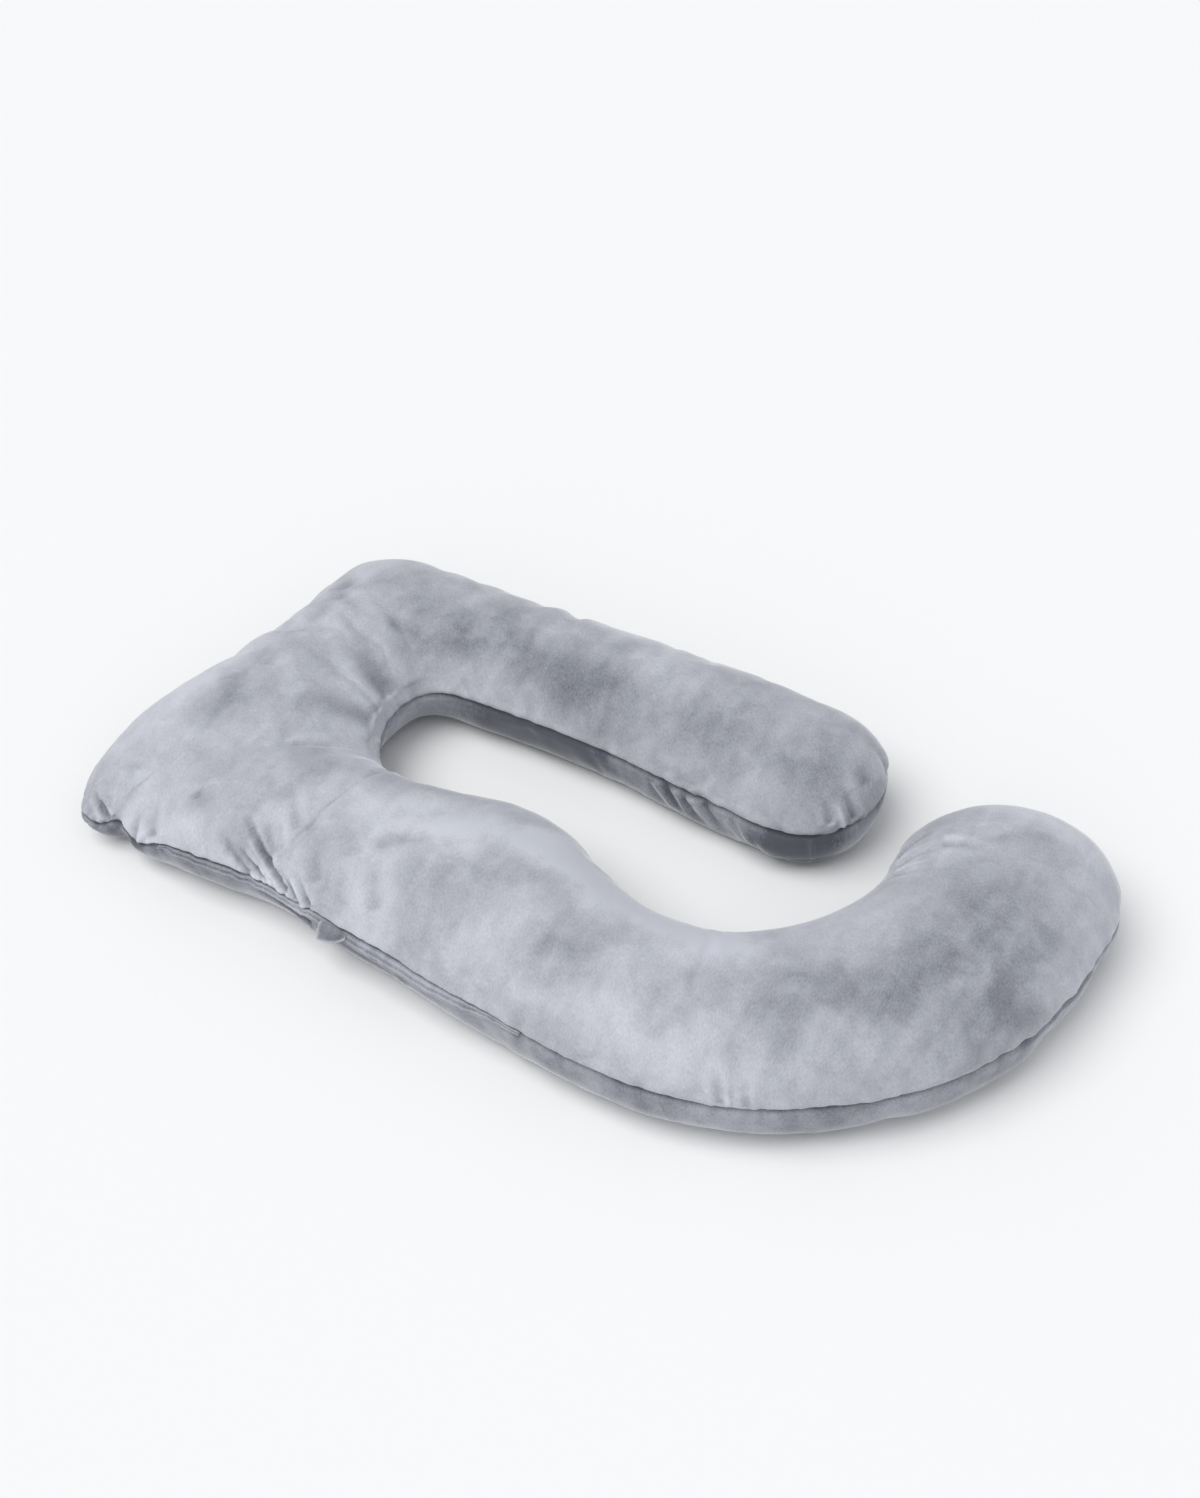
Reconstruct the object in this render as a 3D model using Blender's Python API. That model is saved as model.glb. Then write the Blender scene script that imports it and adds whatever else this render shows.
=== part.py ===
"""A full-body pregnancy pillow: one long filled bolster that folds back on itself round a head rest.

A short straight arm lies behind the back and a longer one in front, whose inner edge swells under
the belly and whose end curls into a hook for the knees. Two panels of the same outline are sewn
together round their whole edge and filled, so the solid is built in the same way: an upper and a
lower panel, laid out on one table of sections, meet in a drawn-in seam. A zip along the outer edge
hides behind a narrow placket, and a small rounded tab covers its slider. Units are metres, +Z is
up, +X runs from the head rest towards the hook, and the origin is the middle of the base.
"""

import math
from dataclasses import dataclass

import bmesh
import bpy
import numpy as np
from mathutils import Vector

# How full the pillow is, and how it meets the floor.
CROWN_POWER = 1.0
PINCHED_POWER = 1.0
BASE_CONTACT = 0.86
BASE_POWER = 1.8

# The seam that joins the two panels, drawn in by its stitching.
SEAM_WIDTH = 0.009
SEAM_DEPTH = 0.0045

# How finely the panels are divided along the bolster, across it and round a tip.
PITCH = 0.040
FINE_PITCH = 0.020
GATHERED_PITCH = 0.011
STEPS_ACROSS = 16
STEPS_IN_TIP = 7

# A fold acts on the cloth within this distance of its line, measured through the filling, and
# spreads to this many times its width. The grid is finer round the narrow folds.
FOLD_REACH = 0.06
FOLD_SPREAD = 1.5
NARROW_FOLD = 0.018
CREASE_CUTS = 2

# The placket that covers the zip runs between these two sections.
PLACKET_START = "zip, start"
PLACKET_END = "belly hollow, start"
PLACKET_THICKNESS = 0.002

# The tab that covers the slider hangs from this section on: its side there is straight, and its
# lower edge curves up from that side and stops short of the seam, at this share of its curve.
TAB_SECTION = "zip tab"
TAB_WIDTH = 0.049
TAB_CURVE_END = 0.96
TAB_THICKNESS = 0.003
TAB_STEPS = 8


@dataclass(frozen=True)
class Section:
    """One line across the bolster, from its outer edge to its inner edge, at the seam.

    crown is the height of the middle, the two seams are the heights of the edges, and pinch says
    how flat the outer edge is, from 0 for a full round one to 1 for the thin ear of a corner.
    """

    place: str
    outer: tuple
    inner: tuple
    crown: float
    outer_seam: float
    inner_seam: float
    pinch: float
    pitch: float = PITCH


@dataclass(frozen=True)
class Tip:
    """A rounded end: how far it reaches past the last section, and how round its corners are."""

    reach: float
    roundness: float


@dataclass(frozen=True)
class Fold:
    """A crease in the cover, deepest at its start, or a ridge where the depth is negative."""

    place: str
    start: tuple
    end: tuple
    width: float
    depth: float


@dataclass(frozen=True)
class Hang:
    """A point on the profile of a hanging flap: how far below the seam, and how far out from it."""

    below: float
    out: float


SECTIONS = (
    Section("short arm, start of the tip", (0.215, 0.376), (0.215, 0.113), 0.178, 0.088, 0.088, 0.0),
    Section("short arm, outer third", (0.080, 0.385), (0.080, 0.130), 0.182, 0.090, 0.088, 0.0),
    Section("short arm, middle", (-0.070, 0.383), (-0.070, 0.150), 0.182, 0.090, 0.088, 0.0),
    Section("short arm, root", (-0.220, 0.380), (-0.200, 0.155), 0.180, 0.090, 0.088, 0.0),
    Section("back shoulder", (-0.380, 0.377), (-0.290, 0.150), 0.180, 0.088, 0.088, 0.0),
    Section("far corner, before", (-0.500, 0.378), (-0.338, 0.148), 0.178, 0.085, 0.088, 0.1),
    Section("far corner, start", (-0.585, 0.374), (-0.364, 0.137), 0.176, 0.080, 0.088, 0.2),
    Section("far corner", (-0.642, 0.338), (-0.380, 0.120), 0.174, 0.077, 0.088, 0.2),
    Section("far corner, end", (-0.652, 0.270), (-0.388, 0.098), 0.173, 0.080, 0.088, 0.1),
    Section("head rest, far side", (-0.656, 0.150), (-0.391, 0.070), 0.172, 0.085, 0.088, 0.0),
    Section("head rest, middle", (-0.678, 0.020), (-0.388, 0.040), 0.174, 0.085, 0.088, 0.0),
    Section("head rest, near side", (-0.708, -0.115), (-0.377, 0.010), 0.175, 0.080, 0.088, 0.0),
    Section("near corner, before", (-0.720, -0.205), (-0.366, -0.010), 0.170, 0.070, 0.088, 0.2),
    Section("near corner, start", (-0.716, -0.278), (-0.357, -0.024), 0.162, 0.060, 0.088, 0.6, FINE_PITCH),
    Section("near corner", (-0.690, -0.322), (-0.348, -0.036), 0.154, 0.050, 0.088, 0.8, GATHERED_PITCH),
    Section("ear, foot", (-0.661, -0.328), (-0.342, -0.042), 0.154, 0.047, 0.088, 0.8, GATHERED_PITCH),
    Section("ear, notch", (-0.625, -0.316), (-0.335, -0.048), 0.157, 0.057, 0.088, 0.7, GATHERED_PITCH),
    Section("corner gather", (-0.584, -0.333), (-0.326, -0.055), 0.162, 0.047, 0.088, 0.7, GATHERED_PITCH),
    Section("zip, start", (-0.530, -0.340), (-0.314, -0.061), 0.168, 0.074, 0.088, 0.3, FINE_PITCH),
    Section("zip, first half", (-0.450, -0.337), (-0.296, -0.068), 0.172, 0.083, 0.088, 0.1, FINE_PITCH),
    Section("zip, middle", (-0.340, -0.328), (-0.250, -0.073), 0.174, 0.083, 0.088, 0.1, FINE_PITCH),
    Section("zip tab", (-0.235, -0.345), (-0.180, -0.060), 0.178, 0.084, 0.088, 0.1, FINE_PITCH),
    Section("belly swell, start", (-0.120, -0.362), (-0.090, -0.040), 0.182, 0.087, 0.088, 0.0),
    Section("belly swell, end", (0.000, -0.380), (0.000, -0.055), 0.186, 0.088, 0.088, 0.0),
    Section("belly hollow, start", (0.110, -0.392), (0.090, -0.103), 0.188, 0.088, 0.088, 0.0),
    Section("belly hollow", (0.220, -0.400), (0.170, -0.130), 0.188, 0.088, 0.088, 0.0),
    Section("belly hollow, end", (0.330, -0.390), (0.250, -0.125), 0.190, 0.088, 0.088, 0.0),
    Section("hook, start", (0.440, -0.350), (0.310, -0.095), 0.190, 0.088, 0.088, 0.0),
    Section("hook, first bend", (0.540, -0.285), (0.360, -0.045), 0.190, 0.088, 0.088, 0.0),
    Section("hook, middle", (0.622, -0.200), (0.392, 0.020), 0.190, 0.088, 0.088, 0.0),
    Section("hook, second bend", (0.680, -0.100), (0.410, 0.080), 0.188, 0.088, 0.088, 0.0),
    Section("hook, end of the bend", (0.714, 0.020), (0.410, 0.130), 0.186, 0.088, 0.088, 0.0),
    Section("hook, start of the tip", (0.724, 0.130), (0.408, 0.170), 0.182, 0.088, 0.088, 0.0),
)
SHORT_ARM_TIP = Tip(reach=0.125, roundness=0.92)
HOOK_TIP = Tip(reach=0.172, roundness=0.97)

FOLDS = (
    Fold("fan at the tab, first", (-0.367, -0.328, 0.094), (-0.428, -0.312, 0.130), 0.009, 0.008),
    Fold("fan at the tab, second", (-0.345, -0.327, 0.092), (-0.396, -0.315, 0.124), 0.008, 0.009),
    Fold("fan at the tab, third", (-0.303, -0.329, 0.093), (-0.398, -0.282, 0.150), 0.010, 0.012),
    Fold("fan at the tab, fourth", (-0.274, -0.334, 0.088), (-0.326, -0.310, 0.116), 0.008, 0.009),
    Fold("fan at the tab, fifth", (-0.255, -0.339, 0.091), (-0.292, -0.316, 0.122), 0.007, 0.006),
    Fold("fan at the tab, upper", (-0.336, -0.303, 0.126), (-0.376, -0.270, 0.158), 0.009, 0.004),
    Fold("fan at the tab, last", (-0.319, -0.275, 0.153), (-0.364, -0.217, 0.174), 0.012, 0.004),
    Fold("hollow beside the tab", (-0.262, -0.336, 0.058), (-0.352, -0.325, 0.060), 0.016, 0.007),
    Fold("ear of the near corner", (-0.640, -0.310, 0.066), (-0.674, -0.296, 0.084), 0.012, 0.007),
    Fold("gather of the near corner", (-0.584, -0.330, 0.055), (-0.560, -0.270, 0.120), 0.018, 0.006),
    Fold("front arm, long trough", (-0.170, -0.200, 0.178), (-0.060, -0.100, 0.170), 0.032, 0.006),
    Fold("front arm, short trough", (-0.215, -0.260, 0.165), (-0.195, -0.170, 0.175), 0.028, 0.006),
    Fold("crotch, upper trough", (-0.385, 0.060, 0.120), (-0.500, 0.110, 0.165), 0.040, 0.009),
    Fold("crotch, lower trough", (-0.375, 0.010, 0.120), (-0.470, -0.070, 0.165), 0.036, 0.007),
    Fold("head rest, far trough", (-0.560, 0.200, 0.165), (-0.640, 0.290, 0.130), 0.030, 0.006),
    Fold("head rest, near trough", (-0.600, -0.060, 0.160), (-0.540, -0.150, 0.165), 0.034, 0.005),
    Fold("short arm end, first pucker", (0.315, 0.160, 0.105), (0.260, 0.185, 0.155), 0.014, 0.006),
    Fold("short arm end, second pucker", (0.338, 0.215, 0.105), (0.275, 0.235, 0.155), 0.016, 0.006),
    Fold("short arm end, hollow", (0.330, 0.290, 0.110), (0.265, 0.285, 0.158), 0.026, 0.008),
    Fold("inner wall, first crease", (0.020, 0.143, 0.080), (0.065, 0.150, 0.028), 0.012, 0.005),
    Fold("inner wall, second crease", (0.080, 0.136, 0.080), (0.125, 0.145, 0.026), 0.012, 0.006),
    Fold("inner wall, third crease", (0.140, 0.128, 0.078), (0.190, 0.140, 0.028), 0.012, 0.005),
    Fold("hook mouth, first crease", (0.440, 0.120, 0.130), (0.520, 0.085, 0.175), 0.015, 0.005),
    Fold("hook mouth, second crease", (0.440, 0.165, 0.130), (0.515, 0.150, 0.172), 0.015, 0.005),
    Fold("hook mouth, third crease", (0.462, 0.225, 0.125), (0.525, 0.200, 0.168), 0.014, 0.004),
    Fold("hook front, pucker", (0.395, -0.372, 0.100), (0.370, -0.320, 0.150), 0.014, 0.004),
)

PLACKET_PROFILE = (
    Hang(below=0.003, out=0.0006),
    Hang(below=0.007, out=0.0026),
    Hang(below=0.012, out=0.0036),
    Hang(below=0.018, out=0.0034),
)
TAB_PROFILE = (
    Hang(below=0.003, out=0.0042),
    Hang(below=0.009, out=0.0068),
    Hang(below=0.018, out=0.0095),
    Hang(below=0.030, out=0.0140),
)


def clear_scene():
    """Removes every object of the scene that the script starts in."""
    for item in list(bpy.data.objects):
        bpy.data.objects.remove(item)


def slope_at(values, along, index):
    """The slope of a value at one section, from its neighbours on both sides."""
    if index == 0:
        return (values[1] - values[0]) / (along[1] - along[0])
    if index == len(values) - 1:
        return (values[-1] - values[-2]) / (along[-1] - along[-2])
    before = along[index] - along[index - 1]
    after = along[index + 1] - along[index]
    rise_before = (values[index] - values[index - 1]) / before
    rise_after = (values[index + 1] - values[index]) / after
    return (rise_before * after + rise_after * before) / (before + after)


class Bolster:
    """The pillow's outline and fill, read from the table of sections at any place along it."""

    def __init__(self, sections, first_tip, last_tip):
        self.outer = [Vector(section.outer) for section in sections]
        self.inner = [Vector(section.inner) for section in sections]
        self.crown = [section.crown for section in sections]
        self.outer_seam = [section.outer_seam for section in sections]
        self.inner_seam = [section.inner_seam for section in sections]
        self.pinch = [section.pinch for section in sections]
        self.tips = (first_tip, last_tip)
        self.along = [0.0]
        for before, after in zip(self.outer, self.outer[1:]):
            self.along.append(self.along[-1] + (after - before).length)

    def at(self, values, distance):
        """One of the table's columns, on a curve that is smooth from section to section."""
        index = 0
        while index < len(self.along) - 2 and distance > self.along[index + 1]:
            index += 1
        step = self.along[index + 1] - self.along[index]
        u = (distance - self.along[index]) / step
        start_slope = slope_at(values, self.along, index) * step
        end_slope = slope_at(values, self.along, index + 1) * step
        return (
            (2 * u**3 - 3 * u**2 + 1) * values[index]
            + (u**3 - 2 * u**2 + u) * start_slope
            + (3 * u**2 - 2 * u**3) * values[index + 1]
            + (u**3 - u**2) * end_slope
        )

    def plan(self, distance, across, into_tip, end):
        """Where a point lies in plan. across is -1 at the inner edge and 1 at the outer one."""
        outer = self.at(self.outer, distance)
        inner = self.at(self.inner, distance)
        middle = (outer + inner) / 2
        half = (outer - inner) / 2
        if end is None:
            return middle + half * across
        tip = self.tips[end]
        forward = Vector((half.y, -half.x)).normalized()
        if end == 1:
            forward = -forward
        reach = tip.reach * into_tip * math.sqrt(1 - tip.roundness * across**2 / 2)
        width = across * math.sqrt(1 - tip.roundness * into_tip**2 / 2)
        return middle + half * width + forward * reach

    def seam_height(self, distance, across):
        """The height of the seam, between that of the two edges."""
        share = (across + 1) / 2
        inner = self.at(self.inner_seam, distance)
        outer = self.at(self.outer_seam, distance)
        return inner + (outer - inner) * share

    def point(self, distance, across, into_tip, end, upper):
        """A point of the upper or the lower panel."""
        fill = math.sqrt(max(0.0, (1 - across**2) * (1 - into_tip**2)))
        seam = self.seam_height(distance, across)
        if upper:
            pinch = self.at(self.pinch, distance) * ((across + 1) / 2) ** 2
            rise = self.at(self.crown, distance) - seam
            height = seam + rise * fill ** (CROWN_POWER + PINCHED_POWER * pinch)
        else:
            height = seam * max(0.0, 1 - fill / BASE_CONTACT) ** BASE_POWER
        spot = self.plan(distance, across, into_tip, end)
        return Vector((spot.x, spot.y, height))

    def outward(self, distance):
        """The level direction that points away from the filling at the outer edge."""
        ahead = self.at(self.outer, distance + FINE_PITCH / 2)
        behind = self.at(self.outer, distance - FINE_PITCH / 2)
        run = (ahead - behind).normalized()
        return Vector((run.y, -run.x, 0.0))

    def hanging(self, distance, below, out):
        """A point that hangs below the seam at the outer edge and stands out from it."""
        spot = self.at(self.outer, distance)
        seam = self.at(self.outer_seam, distance)
        return Vector((spot.x, spot.y, seam - below)) + self.outward(distance) * out


def stations(bolster, sections):
    """The places along the bolster where the panels have a row: (distance, into tip, end)."""
    rows = []
    for step in range(STEPS_IN_TIP, 0, -1):
        rows.append((0.0, math.sin(math.pi / 2 * step / STEPS_IN_TIP), 0))
    for section, start, stop in zip(sections, bolster.along, bolster.along[1:]):
        steps = max(1, round((stop - start) / section.pitch))
        rows += [(start + (stop - start) * step / steps, 0.0, None) for step in range(steps)]
    rows.append((bolster.along[-1], 0.0, None))
    for step in range(1, STEPS_IN_TIP + 1):
        rows.append((bolster.along[-1], math.sin(math.pi / 2 * step / STEPS_IN_TIP), 1))
    return rows


def row_at(rows, place):
    """The station at a place in the list of rows, which may lie between two of them."""
    index = min(int(place), len(rows) - 2)
    share = place - index
    (start, start_tip, start_end), (stop, stop_tip, stop_end) = rows[index], rows[index + 1]
    end = start_end if stop_end is None else stop_end
    return start + (stop - start) * share, start_tip + (stop_tip - start_tip) * share, end


def distance_to(fold, spot, normal):
    """How far a point of the cloth lies beside a fold, and where along the fold it lies."""
    start = Vector(fold.start)
    run = Vector(fold.end) - start
    along = min(max((spot - start).dot(run) / run.length_squared, 0.0), 1.0)
    gap = spot - (start + run * along)
    lift = gap.dot(normal)
    if abs(lift) > FOLD_REACH:
        return math.inf, along
    return (gap - normal * lift).length, along


def crease(shape, seam):
    """Presses the folds into the cover, but not into its seam."""
    shape.normal_update()
    cover = [vertex for vertex in shape.verts if vertex not in seam]
    moves = []
    for vertex in cover:
        depth = 0.0
        for fold in FOLDS:
            aside, along = distance_to(fold, vertex.co, vertex.normal)
            spread = fold.width * FOLD_SPREAD
            if aside < spread:
                shallower = 1 - along**2
                depth += fold.depth * shallower * (1 + math.cos(math.pi * aside / spread)) / 2
        moves.append(vertex.normal * -depth)
    for vertex, move in zip(cover, moves):
        vertex.co += move


def placed(bolster, rows, spot, upper):
    """Where a point of a panel's square grid lies on the bolster."""
    distance, into_tip, end = row_at(rows, (spot.x + 1) / 2 * (len(rows) - 1))
    return bolster.point(distance, math.sin(math.pi / 2 * spot.y), into_tip, end, upper)


def is_creased(spot, folds):
    """Whether one of the folds runs close by a point of the upper panel."""
    up = Vector((0.0, 0.0, 1.0))
    return any(distance_to(fold, spot, up)[0] < fold.width * FOLD_SPREAD for fold in folds)


def panel(bolster, rows, upper):
    """One of the two panels, as a grid that is shaped row by row and finer where it is creased."""
    mesh = bmesh.new()
    bmesh.ops.create_grid(mesh, x_segments=len(rows) - 1, y_segments=STEPS_ACROSS, size=1.0)
    if upper:
        narrow = [fold for fold in FOLDS if fold.width < NARROW_FOLD]
        inside = [edge for edge in mesh.edges if not any(end.is_boundary for end in edge.verts)]
        middles = [(edge, (edge.verts[0].co + edge.verts[1].co) / 2) for edge in inside]
        creased = [
            edge for edge, middle in middles if is_creased(placed(bolster, rows, middle, upper), narrow)
        ]
        bmesh.ops.subdivide_edges(mesh, edges=creased, cuts=CREASE_CUTS, use_grid_fill=True)
    for vertex in mesh.verts:
        vertex.co = placed(bolster, rows, vertex.co, upper)
    return mesh


def sew(upper, lower):
    """Joins the two panels round their edges into one closed shape, with its seam drawn in."""
    shape = bmesh.new()
    for half in (upper, lower):
        mesh = bpy.data.meshes.new("half")
        half.to_mesh(mesh)
        half.free()
        shape.from_mesh(mesh)
        bpy.data.meshes.remove(mesh)
    border = [edge for edge in shape.edges if edge.is_boundary]
    for edge in border:
        edge.seam = True
    corners = list({vertex for edge in border for vertex in edge.verts})
    bmesh.ops.remove_doubles(shape, verts=corners, dist=1e-5)
    bmesh.ops.recalc_face_normals(shape, faces=shape.faces)
    seam = [edge for edge in shape.edges if edge.seam]
    made = bmesh.ops.bevel(
        shape, geom=seam, offset=SEAM_WIDTH / 2, segments=2, profile=0.5, affect="EDGES", material=-1
    )
    strip = set(made["faces"])
    shape.normal_update()
    bottom = [vertex for vertex in made["verts"] if strip.issuperset(vertex.link_faces)]
    sunk = [vertex.co - vertex.normal * SEAM_DEPTH for vertex in bottom]
    for vertex, spot in zip(bottom, sunk):
        vertex.co = spot
    crease(shape, set(made["verts"]))
    return shape


def placket(bolster, rows):
    """The narrow strip along the outer edge, just below the seam, that covers the zip."""
    places = [section.place for section in SECTIONS]
    start = bolster.along[places.index(PLACKET_START)]
    stop = bolster.along[places.index(PLACKET_END)]
    distances = [distance for distance, _, end in rows if end is None and start <= distance <= stop]
    mesh = bmesh.new()
    steps = len(PLACKET_PROFILE) - 1
    bmesh.ops.create_grid(mesh, x_segments=len(distances) - 1, y_segments=steps, size=1.0)
    for vertex in mesh.verts:
        distance = distances[round((vertex.co.x + 1) / 2 * (len(distances) - 1))]
        hang = PLACKET_PROFILE[round((vertex.co.y + 1) / 2 * steps)]
        vertex.co = bolster.hanging(distance, hang.below, hang.out)
    return thickened(mesh, PLACKET_THICKNESS)


def tab(bolster):
    """The small flap that covers the slider, straight at one side and curving up to the other."""
    places = [section.place for section in SECTIONS]
    start = bolster.along[places.index(TAB_SECTION)]
    below = [hang.below for hang in TAB_PROFILE]
    out = [hang.out for hang in TAB_PROFILE]
    mesh = bmesh.new()
    bmesh.ops.create_grid(mesh, x_segments=TAB_STEPS, y_segments=TAB_STEPS, size=1.0)
    for vertex in mesh.verts:
        across = (vertex.co.x + 1) / 2
        down = (vertex.co.y + 1) / 2
        turn = across * TAB_CURVE_END
        drop = (math.sqrt(1 - turn**2) + 1 - turn) / 2
        height = below[0] + (below[-1] - below[0]) * down * drop
        spot = start + TAB_WIDTH * across
        vertex.co = bolster.hanging(spot, height, float(np.interp(height, below, out)))
    return thickened(mesh, TAB_THICKNESS)


def thickened(mesh, thickness):
    """Gives a flat flap its thickness, half of it on either side."""
    bmesh.ops.recalc_face_normals(mesh, faces=mesh.faces)
    mesh.normal_update()
    moves = [vertex.normal * thickness / 2 for vertex in mesh.verts]
    for vertex, move in zip(mesh.verts, moves):
        vertex.co += move
    bmesh.ops.solidify(mesh, geom=mesh.faces, thickness=thickness)
    bmesh.ops.recalc_face_normals(mesh, faces=mesh.faces)
    return mesh


def finished(name, shape, material):
    """Makes an object of a shape, smooth shaded and in the given material."""
    mesh = bpy.data.meshes.new(name)
    shape.to_mesh(mesh)
    shape.free()
    mesh.shade_smooth()
    mesh.materials.append(material)
    made = bpy.data.objects.new(name, mesh)
    bpy.context.scene.collection.objects.link(made)
    return made


def velvet(name, tone):
    """The short-pile velvet of the cover, in one of its blue-grey tones."""
    material = bpy.data.materials.new(name)
    material.use_nodes = True
    shader = material.node_tree.nodes["Principled BSDF"]
    shader.inputs["Base Color"].default_value = (*tone, 1)
    shader.inputs["Roughness"].default_value = 0.9
    return material


def centre_on_base(pieces):
    """Moves the pieces so that the middle of the whole pillow stands over the origin."""
    spots = [vertex.co for piece in pieces for vertex in piece.data.vertices]
    low = Vector((min(spot.x for spot in spots), min(spot.y for spot in spots), 0.0))
    high = Vector((max(spot.x for spot in spots), max(spot.y for spot in spots), 0.0))
    for piece in pieces:
        for vertex in piece.data.vertices:
            vertex.co -= (low + high) / 2


def main():
    """Builds the pillow."""
    clear_scene()
    bolster = Bolster(SECTIONS, SHORT_ARM_TIP, HOOK_TIP)
    rows = stations(bolster, SECTIONS)
    shape = sew(panel(bolster, rows, True), panel(bolster, rows, False))
    pieces = [
        finished("pillow", shape, velvet("pillow velvet", (0.42, 0.44, 0.50))),
        finished("placket", placket(bolster, rows), velvet("placket velvet", (0.40, 0.42, 0.48))),
        finished("tab", tab(bolster), velvet("tab velvet", (0.38, 0.40, 0.46))),
    ]
    centre_on_base(pieces)


main()
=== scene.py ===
"""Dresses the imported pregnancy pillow: a filled velvet bolster, its zip placket and its tab.

The pillow is laid out on the same table of sections as its solid, inflated as cloth, and then gets
its seam, gathers and folds. All lengths are metres. Places in the tables are measured from the
table's own origin, and the solid's box says how far that lies from the middle of the base.
"""

import logging
import math
from collections.abc import Mapping, Sequence
from dataclasses import dataclass, field
from enum import Enum

import bmesh
import bpy
import numpy as np
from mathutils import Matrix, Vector, kdtree, noise
from mathutils.bvhtree import BVHTree


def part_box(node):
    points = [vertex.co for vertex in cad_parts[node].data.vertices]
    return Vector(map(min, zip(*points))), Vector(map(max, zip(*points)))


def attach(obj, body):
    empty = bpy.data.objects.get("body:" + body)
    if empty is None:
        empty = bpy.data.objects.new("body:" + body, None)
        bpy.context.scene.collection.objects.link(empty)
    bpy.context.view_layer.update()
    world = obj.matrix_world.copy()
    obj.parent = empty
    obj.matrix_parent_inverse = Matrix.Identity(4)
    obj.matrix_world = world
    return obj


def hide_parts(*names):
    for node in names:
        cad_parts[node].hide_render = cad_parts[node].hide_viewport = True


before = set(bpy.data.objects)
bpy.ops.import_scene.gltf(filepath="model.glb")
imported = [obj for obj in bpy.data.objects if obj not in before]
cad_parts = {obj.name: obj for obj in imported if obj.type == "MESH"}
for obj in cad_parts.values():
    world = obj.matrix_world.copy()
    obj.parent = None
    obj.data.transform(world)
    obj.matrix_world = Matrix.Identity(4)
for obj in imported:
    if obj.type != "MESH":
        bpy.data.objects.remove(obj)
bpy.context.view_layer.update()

log = logging.getLogger("pillow")

FLAT_MAP = "flat"
SEAM_GAP = "seam_gap"
# Painted shade and light, kept for each vertex: shade above zero, light below zero.
PAINTED_SHADE_AND_LIGHT = "crease"
LOWER_PANEL_OFFSET = 5.0
NOISE_MIDDLE = 0.5
ON_THE_EDGE = 1e-6
SMALLEST_LENGTH = 1e-9


class Panel(Enum):
    """The two panels that the cover is sewn from."""

    UPPER = "upper"
    LOWER = "lower"


class End(Enum):
    """The two rounded ends of the bolster."""

    SHORT_ARM = 0
    HOOK = 1


@dataclass(frozen=True)
class Section:
    """One line across the bolster at the seam, from its outer edge to its inner edge.

    crown is how high the fill stands, the seams are how high the seam runs at either edge, and
    pinch is how much flatter the fill lies towards the outer edge.
    """

    place: str
    outer: tuple[float, float]
    inner: tuple[float, float]
    crown: float
    outer_seam: float
    inner_seam: float
    pinch: float = 0.0


@dataclass(frozen=True)
class Tip:
    """A rounded end: how far it reaches past the last section, and how round its corners are."""

    reach: float
    roundness: float


@dataclass(frozen=True)
class Fold:
    """A crease in the cover from its deep end to its shallow one, or a ridge if depth is negative.

    bow is how far the middle of the fold's line lies to the left of the straight one.
    """

    place: str
    start: tuple[float, float, float]
    end: tuple[float, float, float]
    width: float
    depth: float
    bow: float = 0.0


@dataclass(frozen=True)
class Stretch:
    """A stretch between two sections where the cover's rows lie closer together."""

    start: str
    stop: str
    pitch: float


@dataclass(frozen=True)
class Gather:
    """A stretch of the seam whose stitching is tighter, round a place on it."""

    place: str
    middle: tuple[float, float]
    reach: float
    strength: float


@dataclass(frozen=True)
class Hang:
    """A point on the profile of a flap: how far below the seam, and how far out of the cloth.

    crease is above zero for shade painted in a crease, and below zero for light painted on a ridge.
    """

    below: float
    out: float
    crease: float = 0.0


@dataclass(frozen=True)
class Ripple:
    """An uneven wave along the placket: how often it turns, where its noise is read, its strength."""

    turns: float
    seed: tuple[float, float]
    strength: float

    def height(self, share: float) -> float:
        """Returns how high the wave stands at a share of the placket's length."""
        return noise.noise((share * self.turns, *self.seed)) * self.strength


@dataclass(frozen=True)
class NapAndPaintedLightPatch:
    """A patch of brushed nap and painted light and shade: darker, or lighter if the shade is negative."""

    place: str
    middle: tuple[float, float]
    size: tuple[float, float]
    shade: float
    panel: Panel = Panel.UPPER


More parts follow.
